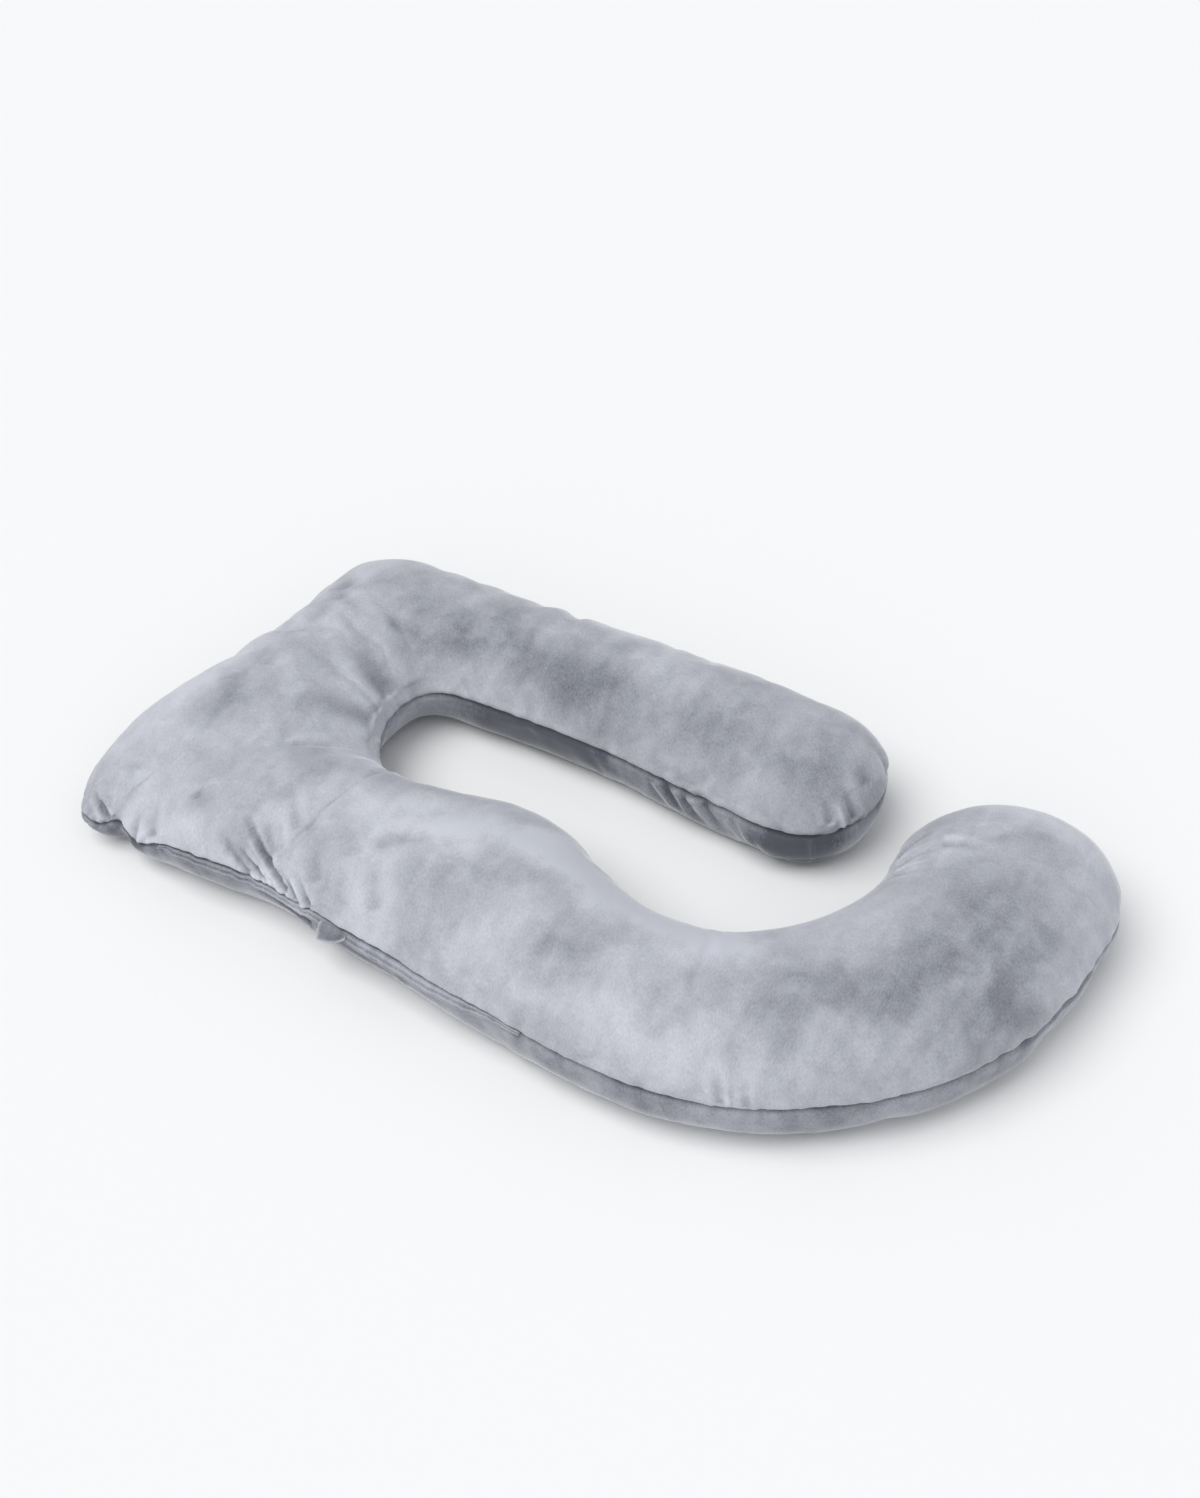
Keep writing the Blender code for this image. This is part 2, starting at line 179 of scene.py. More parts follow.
SECTIONS = (
    Section("short arm, start of the tip", (0.215, 0.376), (0.215, 0.113), 0.178, 0.088, 0.088),
    Section("short arm, outer third", (0.080, 0.385), (0.080, 0.130), 0.182, 0.090, 0.088),
    Section("short arm, middle", (-0.070, 0.383), (-0.070, 0.150), 0.182, 0.090, 0.088),
    Section("short arm, root", (-0.220, 0.380), (-0.200, 0.155), 0.180, 0.090, 0.088),
    Section("back shoulder", (-0.380, 0.377), (-0.290, 0.150), 0.180, 0.088, 0.088),
    Section("far corner, before", (-0.500, 0.378), (-0.338, 0.148), 0.178, 0.085, 0.088, 0.1),
    Section("far corner, start", (-0.585, 0.374), (-0.364, 0.137), 0.176, 0.080, 0.088, 0.2),
    Section("far corner", (-0.642, 0.338), (-0.380, 0.120), 0.174, 0.077, 0.088, 0.2),
    Section("far corner, end", (-0.652, 0.270), (-0.388, 0.098), 0.173, 0.080, 0.088, 0.1),
    Section("head rest, far side", (-0.656, 0.150), (-0.391, 0.070), 0.172, 0.085, 0.088),
    Section("head rest, middle", (-0.678, 0.020), (-0.388, 0.040), 0.174, 0.085, 0.088),
    Section("head rest, near side", (-0.708, -0.115), (-0.377, 0.010), 0.175, 0.080, 0.088),
    Section("near corner, before", (-0.720, -0.205), (-0.366, -0.010), 0.170, 0.070, 0.088, 0.2),
    Section("near corner, start", (-0.716, -0.278), (-0.357, -0.024), 0.162, 0.060, 0.088, 0.6),
    Section("near corner", (-0.690, -0.322), (-0.348, -0.036), 0.154, 0.050, 0.088, 0.8),
    Section("ear, foot", (-0.661, -0.328), (-0.342, -0.042), 0.154, 0.047, 0.088, 0.8),
    Section("ear, notch", (-0.625, -0.316), (-0.335, -0.048), 0.157, 0.057, 0.088, 0.7),
    Section("corner gather", (-0.584, -0.333), (-0.326, -0.055), 0.162, 0.047, 0.088, 0.7),
    Section("zip, start", (-0.530, -0.340), (-0.314, -0.061), 0.168, 0.074, 0.088, 0.3),
    Section("zip, first half", (-0.450, -0.337), (-0.296, -0.068), 0.172, 0.083, 0.088, 0.1),
    Section("zip, middle", (-0.340, -0.328), (-0.250, -0.073), 0.174, 0.083, 0.088, 0.1),
    Section("zip tab", (-0.235, -0.345), (-0.180, -0.060), 0.178, 0.084, 0.088, 0.1),
    Section("belly swell, start", (-0.120, -0.362), (-0.090, -0.040), 0.182, 0.087, 0.088),
    Section("belly swell, end", (0.000, -0.380), (0.000, -0.055), 0.186, 0.088, 0.088),
    Section("belly hollow, start", (0.110, -0.392), (0.090, -0.103), 0.188, 0.088, 0.088),
    Section("belly hollow", (0.220, -0.400), (0.170, -0.130), 0.188, 0.088, 0.088),
    Section("belly hollow, end", (0.330, -0.390), (0.250, -0.125), 0.190, 0.088, 0.088),
    Section("hook, start", (0.440, -0.350), (0.310, -0.095), 0.190, 0.088, 0.088),
    Section("hook, first bend", (0.540, -0.285), (0.360, -0.045), 0.190, 0.088, 0.088),
    Section("hook, middle", (0.622, -0.200), (0.392, 0.020), 0.190, 0.088, 0.088),
    Section("hook, second bend", (0.680, -0.100), (0.410, 0.080), 0.188, 0.088, 0.088),
    Section("hook, end of the bend", (0.714, 0.020), (0.410, 0.130), 0.186, 0.088, 0.088),
    Section("hook, start of the tip", (0.724, 0.130), (0.408, 0.170), 0.182, 0.088, 0.088),
)
TIPS = {
    End.SHORT_ARM: Tip(reach=0.125, roundness=0.92),
    End.HOOK: Tip(reach=0.172, roundness=0.97),
}

FINE_STRETCHES = (
    Stretch("short arm, start of the tip", "short arm, middle", 0.0075),
    Stretch("near corner, start", "zip, start", 0.0060),
    Stretch("zip, first half", "belly swell, start", 0.0045),
    Stretch("belly hollow, end", "hook, start", 0.0080),
)
FOLDS = (
    Fold("fan at the tab, first", (-0.366, -0.327, 0.090), (-0.430, -0.311, 0.132), 0.0070, 0.0070),
    Fold("fan at the tab, second", (-0.345, -0.327, 0.092), (-0.398, -0.313, 0.127), 0.0045, 0.0087),
    Fold("fan at the tab, third", (-0.334, -0.327, 0.092), (-0.378, -0.318, 0.116), 0.0035, 0.0049),
    Fold("fan at the tab, main", (-0.298, -0.331, 0.090), (-0.400, -0.281, 0.151), 0.0052, 0.0126),
    Fold("fan at the tab, fourth", (-0.271, -0.335, 0.086), (-0.328, -0.309, 0.118), 0.0045, 0.0095),
    Fold("fan at the tab, fifth", (-0.255, -0.339, 0.090), (-0.293, -0.316, 0.122), 0.0045, 0.0063),
    Fold("fan at the tab, ridge one", (-0.357, -0.325, 0.086), (-0.406, -0.318, 0.120), 0.0026, -0.0025),
    Fold("fan at the tab, ridge two", (-0.325, -0.328, 0.090), (-0.393, -0.312, 0.126), 0.0026, -0.0034),
    Fold("fan at the tab, ridge three", (-0.312, -0.328, 0.092), (-0.390, -0.299, 0.138), 0.0028, -0.0039),
    Fold("fan at the tab, ridge four", (-0.284, -0.332, 0.090), (-0.335, -0.312, 0.116), 0.0026, -0.0036),
    Fold("fan at the tab, ridge five", (-0.264, -0.336, 0.084), (-0.302, -0.314, 0.112), 0.0028, -0.0034),
    Fold("above the fan, first", (-0.336, -0.304, 0.125), (-0.377, -0.270, 0.158), 0.0060, 0.0030),
    Fold("above the fan, second", (-0.327, -0.298, 0.131), (-0.348, -0.268, 0.155), 0.0050, 0.0024),
    Fold("above the fan, third", (-0.318, -0.274, 0.153), (-0.364, -0.217, 0.174), 0.0070, 0.0032),
    Fold("above the tab", (-0.255, -0.318, 0.120), (-0.290, -0.255, 0.158), 0.0170, 0.0035),
    Fold("hollow beside the tab", (-0.258, -0.337, 0.062), (-0.372, -0.326, 0.062), 0.0085, 0.0100),
    Fold("ear of the near corner", (-0.636, -0.313, 0.062), (-0.676, -0.295, 0.086), 0.0048, 0.0095),
    Fold("ear, rim", (-0.694, -0.306, 0.062), (-0.690, -0.285, 0.082), 0.0050, 0.0022),
    Fold("corner gather, first", (-0.584, -0.331, 0.050), (-0.574, -0.290, 0.100), 0.0070, 0.0060, 0.004),
    Fold("corner gather, second", (-0.572, -0.334, 0.056), (-0.540, -0.318, 0.088), 0.0045, 0.0030),
    Fold("corner gather, lip", (-0.556, -0.336, 0.070), (-0.520, -0.334, 0.084), 0.0050, -0.0030),
    Fold("corner, soft hollow", (-0.545, -0.330, 0.080), (-0.560, -0.285, 0.115), 0.0130, 0.0040),
    Fold("dimple by the ear", (-0.619, -0.262, 0.126), (-0.606, -0.252, 0.132), 0.0060, 0.0022),
    Fold("dimple above the fan", (-0.485, -0.283, 0.147), (-0.500, -0.270, 0.152), 0.0060, 0.0022),
    Fold("head rest, slope", (-0.500, -0.275, 0.150), (-0.440, -0.300, 0.140), 0.0160, 0.0030),
    Fold("front arm, short trough", (-0.150, -0.334, 0.134), (-0.184, -0.280, 0.165), 0.0110, 0.0040),
    Fold("front arm, upper trough", (-0.194, -0.261, 0.168), (-0.100, -0.197, 0.182), 0.012, 0.0035, 0.008),
    Fold("front arm, long trough", (-0.170, -0.200, 0.178), (-0.060, -0.100, 0.170), 0.0180, 0.0030, 0.010),
    Fold("crotch, upper trough", (-0.385, 0.065, 0.120), (-0.500, 0.120, 0.165), 0.0200, 0.0070, 0.010),
    Fold("crotch, lower trough", (-0.375, 0.010, 0.120), (-0.470, -0.070, 0.165), 0.0180, 0.0060, -0.010),
    Fold("crotch, crease", (-0.388, 0.035, 0.115), (-0.450, 0.030, 0.160), 0.0080, 0.0035, 0.004),
    Fold("head rest, crescent", (-0.446, -0.130, 0.148), (-0.396, -0.072, 0.131), 0.0070, -0.0030, 0.010),
    Fold("head rest, first wrinkle", (-0.571, 0.180, 0.163), (-0.502, 0.145, 0.171), 0.0100, 0.0035, 0.008),
    Fold("head rest, second wrinkle", (-0.560, 0.085, 0.167), (-0.590, 0.050, 0.170), 0.0090, 0.0025),
    Fold("head rest, third wrinkle", (-0.466, 0.172, 0.167), (-0.384, 0.189, 0.157), 0.010, 0.0035, -0.006),
    Fold("head rest, fourth wrinkle", (-0.552, -0.024, 0.175), (-0.570, 0.030, 0.174), 0.011, 0.0030, 0.006),
    Fold("head rest, far trough", (-0.560, 0.200, 0.165), (-0.640, 0.290, 0.130), 0.0180, 0.0050, 0.006),
    Fold("head rest, near trough", (-0.600, -0.060, 0.160), (-0.540, -0.150, 0.165), 0.0200, 0.0040, 0.010),
    Fold("back arm, root", (-0.353, 0.199, 0.163), (-0.330, 0.300, 0.165), 0.0160, 0.0035, 0.010),
    Fold("short arm end, ridge", (0.315, 0.168, 0.098), (0.298, 0.174, 0.130), 0.0039, -0.0048),
    Fold("short arm end, before the ridge", (0.300, 0.156, 0.104), (0.282, 0.166, 0.134), 0.0060, 0.0045),
    Fold("short arm end, after the ridge", (0.326, 0.184, 0.098), (0.304, 0.192, 0.136), 0.0065, 0.0060),
    Fold("short arm end, second ridge", (0.338, 0.204, 0.086), (0.318, 0.206, 0.118), 0.0046, -0.0026),
    Fold("short arm end, hollow", (0.322, 0.230, 0.128), (0.300, 0.244, 0.150), 0.0130, 0.0055),
    Fold("short arm end, shoulder", (0.332, 0.300, 0.100), (0.286, 0.300, 0.152), 0.0120, 0.0050),
    Fold("short arm end, low ridge", (0.282, 0.136, 0.082), (0.280, 0.152, 0.026), 0.0039, -0.0036),
    Fold("short arm end, bottom lip", (0.244, 0.134, 0.022), (0.320, 0.200, 0.024), 0.0045, -0.003, -0.016),
    Fold("inner wall, first ridge", (0.026, 0.138, 0.078), (0.060, 0.144, 0.034), 0.0066, -0.0037, 0.003),
    Fold("inner wall, second ridge", (0.060, 0.134, 0.082), (0.090, 0.139, 0.036), 0.0066, -0.0040, 0.003),
    Fold("inner wall, third ridge", (0.088, 0.130, 0.084), (0.134, 0.135, 0.034), 0.0076, -0.0063, 0.004),
    Fold("inner wall, fourth ridge", (0.150, 0.122, 0.074), (0.178, 0.131, 0.028), 0.0057, -0.0028),
    Fold("inner wall, fifth ridge", (0.184, 0.119, 0.064), (0.206, 0.128, 0.026), 0.0057, -0.0028),
    Fold("inner wall, first hollow", (0.044, 0.136, 0.082), (0.076, 0.142, 0.040), 0.0080, 0.0030),
    Fold("inner wall, second hollow", (0.110, 0.128, 0.080), (0.152, 0.134, 0.036), 0.0110, 0.0035),
    Fold("hook mouth, first crease", (0.421, 0.118, 0.123), (0.452, 0.166, 0.150), 0.0050, 0.0040, 0.004),
    Fold("hook mouth, first ridge", (0.424, 0.100, 0.124), (0.462, 0.140, 0.156), 0.0035, -0.0024, 0.004),
    Fold("hook mouth, second crease", (0.430, 0.088, 0.130), (0.476, 0.120, 0.166), 0.0050, 0.0038, 0.004),
    Fold("hook mouth, second ridge", (0.434, 0.074, 0.134), (0.482, 0.098, 0.169), 0.0035, -0.0026, 0.003),
    Fold("hook mouth, third crease", (0.438, 0.060, 0.138), (0.488, 0.078, 0.172), 0.0055, 0.0030),
    Fold("hook mouth, upper ridge", (0.470, 0.146, 0.163), (0.525, 0.150, 0.178), 0.0080, -0.0014, 0.004),
    Fold("hook mouth, upper crease", (0.474, 0.130, 0.166), (0.535, 0.138, 0.180), 0.0075, 0.0035, 0.004),
    Fold("hook front, first pucker", (0.394, -0.371, 0.094), (0.374, -0.352, 0.142), 0.0055, 0.0045),
    Fold("hook front, ridge", (0.404, -0.368, 0.094), (0.388, -0.348, 0.134), 0.0030, -0.0022),
    Fold("hook front, second pucker", (0.424, -0.360, 0.094), (0.412, -0.338, 0.132), 0.0050, 0.0032),
)
# Patches of brushed nap and painted light and shade, on each panel's flat map. On the upper panel the nap's
# own mottling is mixed with painted light on the lit tops.
NAP_AND_PAINTED_LIGHT_PATCHES = (
    NapAndPaintedLightPatch("hook", (0.590, -0.010), (0.190, 0.240), 0.34),
    NapAndPaintedLightPatch("hook, bend", (0.500, -0.200), (0.220, 0.140), 0.22),
    NapAndPaintedLightPatch("hook, low", (0.680, -0.130), (0.090, 0.120), 0.25),
    # Painted sheen highlight on the hook's right edge and tip.
    NapAndPaintedLightPatch("hook, right edge", (0.690, 0.190), (0.080, 0.110), -0.22),
    NapAndPaintedLightPatch("hook, tip", (0.590, 0.265), (0.140, 0.080), -0.24),
    NapAndPaintedLightPatch("hook, root", (0.370, -0.270), (0.130, 0.110), 0.16),
    NapAndPaintedLightPatch("back arm", (-0.130, 0.195), (0.230, 0.100), 0.40),
    NapAndPaintedLightPatch("back shoulder", (-0.320, 0.225), (0.150, 0.100), 0.38),
    NapAndPaintedLightPatch("head rest, far side", (-0.440, 0.210), (0.120, 0.100), 0.28),
    NapAndPaintedLightPatch("short arm, middle", (0.080, 0.190), (0.150, 0.090), 0.28),
    NapAndPaintedLightPatch("short arm, end", (0.275, 0.210), (0.130, 0.120), 0.36),
    NapAndPaintedLightPatch("short arm, far side", (0.190, 0.320), (0.120, 0.080), 0.14),
    # Painted sheen highlight along the short arm's far rim.
    NapAndPaintedLightPatch("short arm, far rim", (-0.060, 0.350), (0.240, 0.050), -0.26),
    NapAndPaintedLightPatch("belly swell", (-0.130, -0.170), (0.150, 0.090), -0.44),
    NapAndPaintedLightPatch("belly swell, inner rim", (0.020, -0.140), (0.110, 0.080), -0.48),
    NapAndPaintedLightPatch("belly hollow", (0.140, -0.180), (0.110, 0.090), -0.52),
    NapAndPaintedLightPatch("belly hollow, hook side", (0.280, -0.190), (0.110, 0.080), -0.46),
    NapAndPaintedLightPatch("front of the belly", (0.236, -0.265), (0.080, 0.050), -0.10),
    NapAndPaintedLightPatch("front of the belly, dark", (0.130, -0.310), (0.110, 0.080), 0.16),
    NapAndPaintedLightPatch("above the tab", (-0.279, -0.190), (0.100, 0.080), -0.22),
    NapAndPaintedLightPatch("beside the fan", (-0.385, -0.315), (0.100, 0.060), 0.34),
    NapAndPaintedLightPatch("head rest, middle", (-0.551, -0.090), (0.110, 0.100), 0.16),
    # Painted sheen highlight along the head rest's outer edge.
    NapAndPaintedLightPatch("head rest, edge", (-0.650, -0.070), (0.080, 0.200), -0.30),
    # Painted shade on the lower panel, which lies below the seam and faces the floor.
    NapAndPaintedLightPatch("whole lower panel", (0.0, 0.0), (3.0, 3.0), 0.38, Panel.LOWER),
    # Painted shade on the inner wall, deepest by the crotch where the arms hem it in; the crotch's own wall
    # is lightened back.
    NapAndPaintedLightPatch("inner wall", (-0.020, 0.120), (0.320, 0.070), 0.18, Panel.LOWER),
    NapAndPaintedLightPatch("inner wall, by the crotch", (-0.200, 0.130), (0.180, 0.110), 0.60, Panel.LOWER),
    NapAndPaintedLightPatch("crotch, wall", (-0.360, 0.060), (0.080, 0.080), -0.24, Panel.LOWER),
    # Painted shade, with darker nap, on the short arm's end where the hook hems it in; painted shade under
    # the near corner and beside and after the tab.
    NapAndPaintedLightPatch("short arm end, wall", (0.290, 0.120), (0.140, 0.110), 0.66, Panel.LOWER),
    NapAndPaintedLightPatch("near corner, wall", (-0.640, -0.330), (0.100, 0.090), 0.30, Panel.LOWER),
    NapAndPaintedLightPatch("beside the tab, wall", (-0.310, -0.350), (0.085, 0.050), 0.48, Panel.LOWER),
    NapAndPaintedLightPatch("after the tab, wall", (-0.140, -0.365), (0.120, 0.050), 0.40, Panel.LOWER),
    NapAndPaintedLightPatch("front wall, middle", (0.150, -0.410), (0.100, 0.060), 0.12, Panel.LOWER),
)
CLOTH = {
    "quality": 5,
    "mass": 0.3,
    "tension_stiffness": 15,
    "compression_stiffness": 15,
    "shear_stiffness": 5,
    "bending_stiffness": 0.2,
    "use_pressure": True,
    "uniform_pressure_force": 4.0,
    "vertex_group_mass": "lying",
    "vertex_group_shrink": "seam",
    "shrink_max": 0.06,
}
GATHERS = (
    Gather("end of the short arm", (0.320, 0.180), 0.130, 1.0),
    Gather("far corner", (-0.630, 0.340), 0.120, 0.7),
    Gather("near corner", (-0.620, -0.330), 0.110, 1.0),
    Gather("tab", (-0.240, -0.345), 0.110, 0.8),
    Gather("front of the hook", (0.400, -0.370), 0.160, 0.6),
    Gather("end of the hook", (0.570, 0.330), 0.220, 0.6),
    Gather("mouth of the hook", (0.410, 0.120), 0.120, 0.8),
    Gather("crotch", (-0.390, 0.050), 0.130, 0.7),
)
# Rows of the placket's profile; the crease column paints shade along its folds and light along its ridges.
PLACKET_PROFILE = (
    Hang(below=0.0010, out=0.0004, crease=0.60),
    Hang(below=0.0040, out=0.0028, crease=-0.50),
    Hang(below=0.0075, out=0.0016, crease=0.45),
    Hang(below=0.0110, out=0.0036, crease=-0.65),
    Hang(below=0.0145, out=0.0022, crease=0.40),
    Hang(below=0.0180, out=0.0038, crease=-0.75),
)
PLACKET_RIPPLES = (
    Ripple(turns=11.0, seed=(0.3, 5.0), strength=0.5),
    Ripple(turns=31.0, seed=(0.0, 2.0), strength=0.3),
)
TAB_PROFILE = (
    Hang(below=0.0020, out=0.0046),
    Hang(below=0.0090, out=0.0068),
    Hang(below=0.0180, out=0.0098),
    Hang(below=0.0300, out=0.0140),
)


def hermite(values: np.ndarray, along: np.ndarray, places: np.ndarray) -> np.ndarray:
    """Reads a smooth curve through values given at sections.

    Args:
        values: One row for each section.
        along: How far along the bolster each section lies.
        places: Where the curve is read.

    Returns:
        One row for each place.
    """
    values = np.asarray(values, float).reshape(len(along), -1)
    steps = np.diff(along)
    rises = np.diff(values, axis=0) / steps[:, None]
    before, after = steps[:-1, None], steps[1:, None]
    between = (rises[:-1] * after + rises[1:] * before) / (before + after)
    slopes = np.vstack([rises[:1], between, rises[-1:]])
    index = np.clip(np.searchsorted(along, places, side="right") - 1, 0, len(steps) - 1)
    step = steps[index][:, None]
    u = (places[:, None] - along[index][:, None]) / step
    return (
        (2 * u**3 - 3 * u**2 + 1) * values[index]
        + (u**3 - 2 * u**2 + u) * slopes[index] * step
        + (3 * u**2 - 2 * u**3) * values[index + 1]
        + (u**3 - u**2) * slopes[index + 1] * step
    )


def smooth_step(values: np.ndarray) -> np.ndarray:
    """Eases values from 0 to 1, flat at both ends."""
    held = np.clip(values, 0.0, 1.0)
    return held * held * (3 - 2 * held)


def coordinates(mesh: bpy.types.Mesh) -> np.ndarray:
    """Reads the places of a mesh's vertices.

    Args:
        mesh: The mesh.

    Returns:
        One row for each vertex.
    """
    flat = np.empty(len(mesh.vertices) * 3)
    mesh.vertices.foreach_get("co", flat)
    return flat.reshape(-1, 3)


def set_coordinates(mesh: bpy.types.Mesh, places: np.ndarray) -> None:
    """Moves a mesh's vertices to new places."""
    mesh.vertices.foreach_set("co", places.ravel())
    mesh.update()


def normals(mesh: bpy.types.Mesh) -> np.ndarray:
    """Reads the normals of a mesh's vertices.

    Args:
        mesh: The mesh.

    Returns:
        One row for each vertex.
    """
    flat = np.empty(len(mesh.vertices) * 3)
    mesh.vertex_normals.foreach_get("vector", flat)
    return flat.reshape(-1, 3)


def smoothed(mesh: bpy.types.Mesh, values: np.ndarray, times: int) -> np.ndarray:
    """Averages values over neighbouring vertices.

    Args:
        mesh: The mesh whose edges say which vertices are neighbours.
        values: One row for each vertex.
        times: How often the averaging is repeated.

    Returns:
        The averaged values.
    """
    pairs = np.empty(len(mesh.edges) * 2, dtype=np.int32)
    mesh.edges.foreach_get("vertices", pairs)
    first, second = pairs.reshape(-1, 2).T
    count = np.bincount(pairs, minlength=len(values))[:, None]
    for _ in range(times):
        total = np.zeros_like(values)
        for column in range(values.shape[1]):
            total[:, column] += np.bincount(first, values[second, column], len(values))
            total[:, column] += np.bincount(second, values[first, column], len(values))
        values = (values + total) / (count + 1)
    return values


def in_order(shape: bmesh.types.BMesh, chosen: set[bmesh.types.BMVert]) -> list[bmesh.types.BMVert]:
    """Lists chosen vertices as they are numbered, so that each run takes them in the same order."""
    shape.verts.index_update()
    return sorted(chosen, key=lambda vertex: vertex.index)


def add_object(name: str, shape: bmesh.types.BMesh) -> bpy.types.Object:
    """Makes a smooth-shaded object of a shape, and frees the shape.

    Args:
        name: The piece's name.
        shape: Its mesh, in the frame's own place.

    Returns:
        The new object, linked to the scene.
    """
    mesh = bpy.data.meshes.new(name)
    shape.to_mesh(mesh)
    shape.free()
    mesh.shade_smooth()
    made = bpy.data.objects.new(name, mesh)
    bpy.context.scene.collection.objects.link(made)
    return made


def evaluated_copy(piece: bpy.types.Object) -> bpy.types.Mesh:
    """Returns a new mesh with what the piece's modifiers make of it."""
    graph = bpy.context.evaluated_depsgraph_get()
    return bpy.data.meshes.new_from_object(piece.evaluated_get(graph), depsgraph=graph)


class Socket:
    """An output of a shader node, with the operators that shader maths is written in."""

    def __init__(self, shader: "Shader", output: bpy.types.NodeSocket) -> None:
        """Wraps one output of a node of the shader."""
        self.shader = shader
        self.output = output

    def _math(self, operation: str, first: object, second: object) -> "Socket":
        """Adds a Math node of two values."""
        return self.shader.node("ShaderNodeMath", {"operation": operation}, {0: first, 1: second})

    def __add__(self, other: object) -> "Socket":
        """Adds a value or a socket."""
        return self._math("ADD", self, other)

    def __radd__(self, other: object) -> "Socket":
        """Adds to a value."""
        return self._math("ADD", other, self)

    def __sub__(self, other: object) -> "Socket":
        """Takes a value or a socket away."""
        return self._math("SUBTRACT", self, other)

    def __rsub__(self, other: object) -> "Socket":
        """Is taken away from a value."""
        return self._math("SUBTRACT", other, self)

    def __mul__(self, other: object) -> "Socket":
        """Multiplies by a value or a socket."""
        return self._math("MULTIPLY", self, other)

    def __rmul__(self, other: object) -> "Socket":
        """Multiplies a value."""
        return self._math("MULTIPLY", other, self)

    def eased(self, low: float, high: float) -> "Socket":
        """Eases a value over a range.

        Args:
            low: Where the result is still 0.
            high: Where the result has reached 1.

        Returns:
            The result, which goes smoothly from 0 to 1.
        """
        settings = {"interpolation_type": "SMOOTHSTEP"}
        inputs = {"Value": self, "From Min": low, "From Max": high}
        return self.shader.node("ShaderNodeMapRange", settings, inputs)


class Shader:
    """A material's nodes, added one expression at a time."""

    def __init__(self, name: str) -> None:
        """Starts a material with a Principled shader."""
        self.material = bpy.data.materials.new(name)
        self.material.use_nodes = True
        self.tree = self.material.node_tree
        self.surface = self.tree.nodes["Principled BSDF"]

    def node(
        self,
        kind: str,
        settings: Mapping[str, object] | None = None,
        inputs: Mapping[str | int, object] | None = None,
        output: str | int = 0,
    ) -> Socket:
        """Adds a node.

        Args:
            kind: The node's type.
            settings: Its own settings, such as a Math node's operation.
            inputs: Values or sockets, by the name or number of the input.
            output: The name or number of the output that is returned.

        Returns:
            The output, ready for more maths.
        """
        made = self.tree.nodes.new(kind)
        for key, value in (settings or {}).items():
            setattr(made, key, value)
        for key, value in (inputs or {}).items():
            self.feed(made.inputs[key], value)
        return Socket(self, made.outputs[output])

    def feed(self, target: bpy.types.NodeSocket, value: object) -> None:
        """Links a socket to an input, or sets the input's own value.

        Args:
            target: The input.
            value: The socket or the value.
        """
        if isinstance(value, Socket):
            self.tree.links.new(value.output, target)
        else:
            target.default_value = value

    def dress(self, values: Mapping[str, object]) -> None:
        """Feeds values or sockets to the surface, by the names of its inputs."""
        for name, value in values.items():
            self.feed(self.surface.inputs[name], value)

    def vector(self, operation: str, first: Socket, second: Sequence[float]) -> Socket:
        """Adds a Vector Math node of a socket and three values."""
        return self.node("ShaderNodeVectorMath", {"operation": operation}, {0: first, 1: tuple(second)})

    def stored(self, name: str) -> Socket:
        """Reads a value that is kept for each vertex."""
        return self.node("ShaderNodeAttribute", {"attribute_name": name}, None, "Fac")

    def mixed(self, factor: Socket, first: Sequence[float], second: Sequence[float]) -> Socket:
        """Mixes two colours."""
        inputs = {"Factor": factor, 6: (*first, 1.0), 7: (*second, 1.0)}
        return self.node("ShaderNodeMix", {"data_type": "RGBA"}, inputs, 2)


@dataclass(frozen=True)
class Grain:
    """One layer of the nap's pattern: how fine and how uneven it is, and how strongly it shows."""

    scale: float
    detail: float
    twist: float
    weight: float
    stretch: tuple[float, float, float] | None = None

    def noise(self, shader: Shader, flat: Socket) -> Socket:
        """Adds the layer's noise to a shader.

        Args:
            shader: The shader.
            flat: The place on the cloth as it was cut.

        Returns:
            The noise, which varies round NOISE_MIDDLE.
        """
        vector = flat if self.stretch is None else shader.vector("MULTIPLY", flat, self.stretch)
        inputs = {"Vector": vector, "Scale": self.scale, "Detail": self.detail, "Distortion": self.twist}
        return shader.node("ShaderNodeTexNoise", None, inputs)


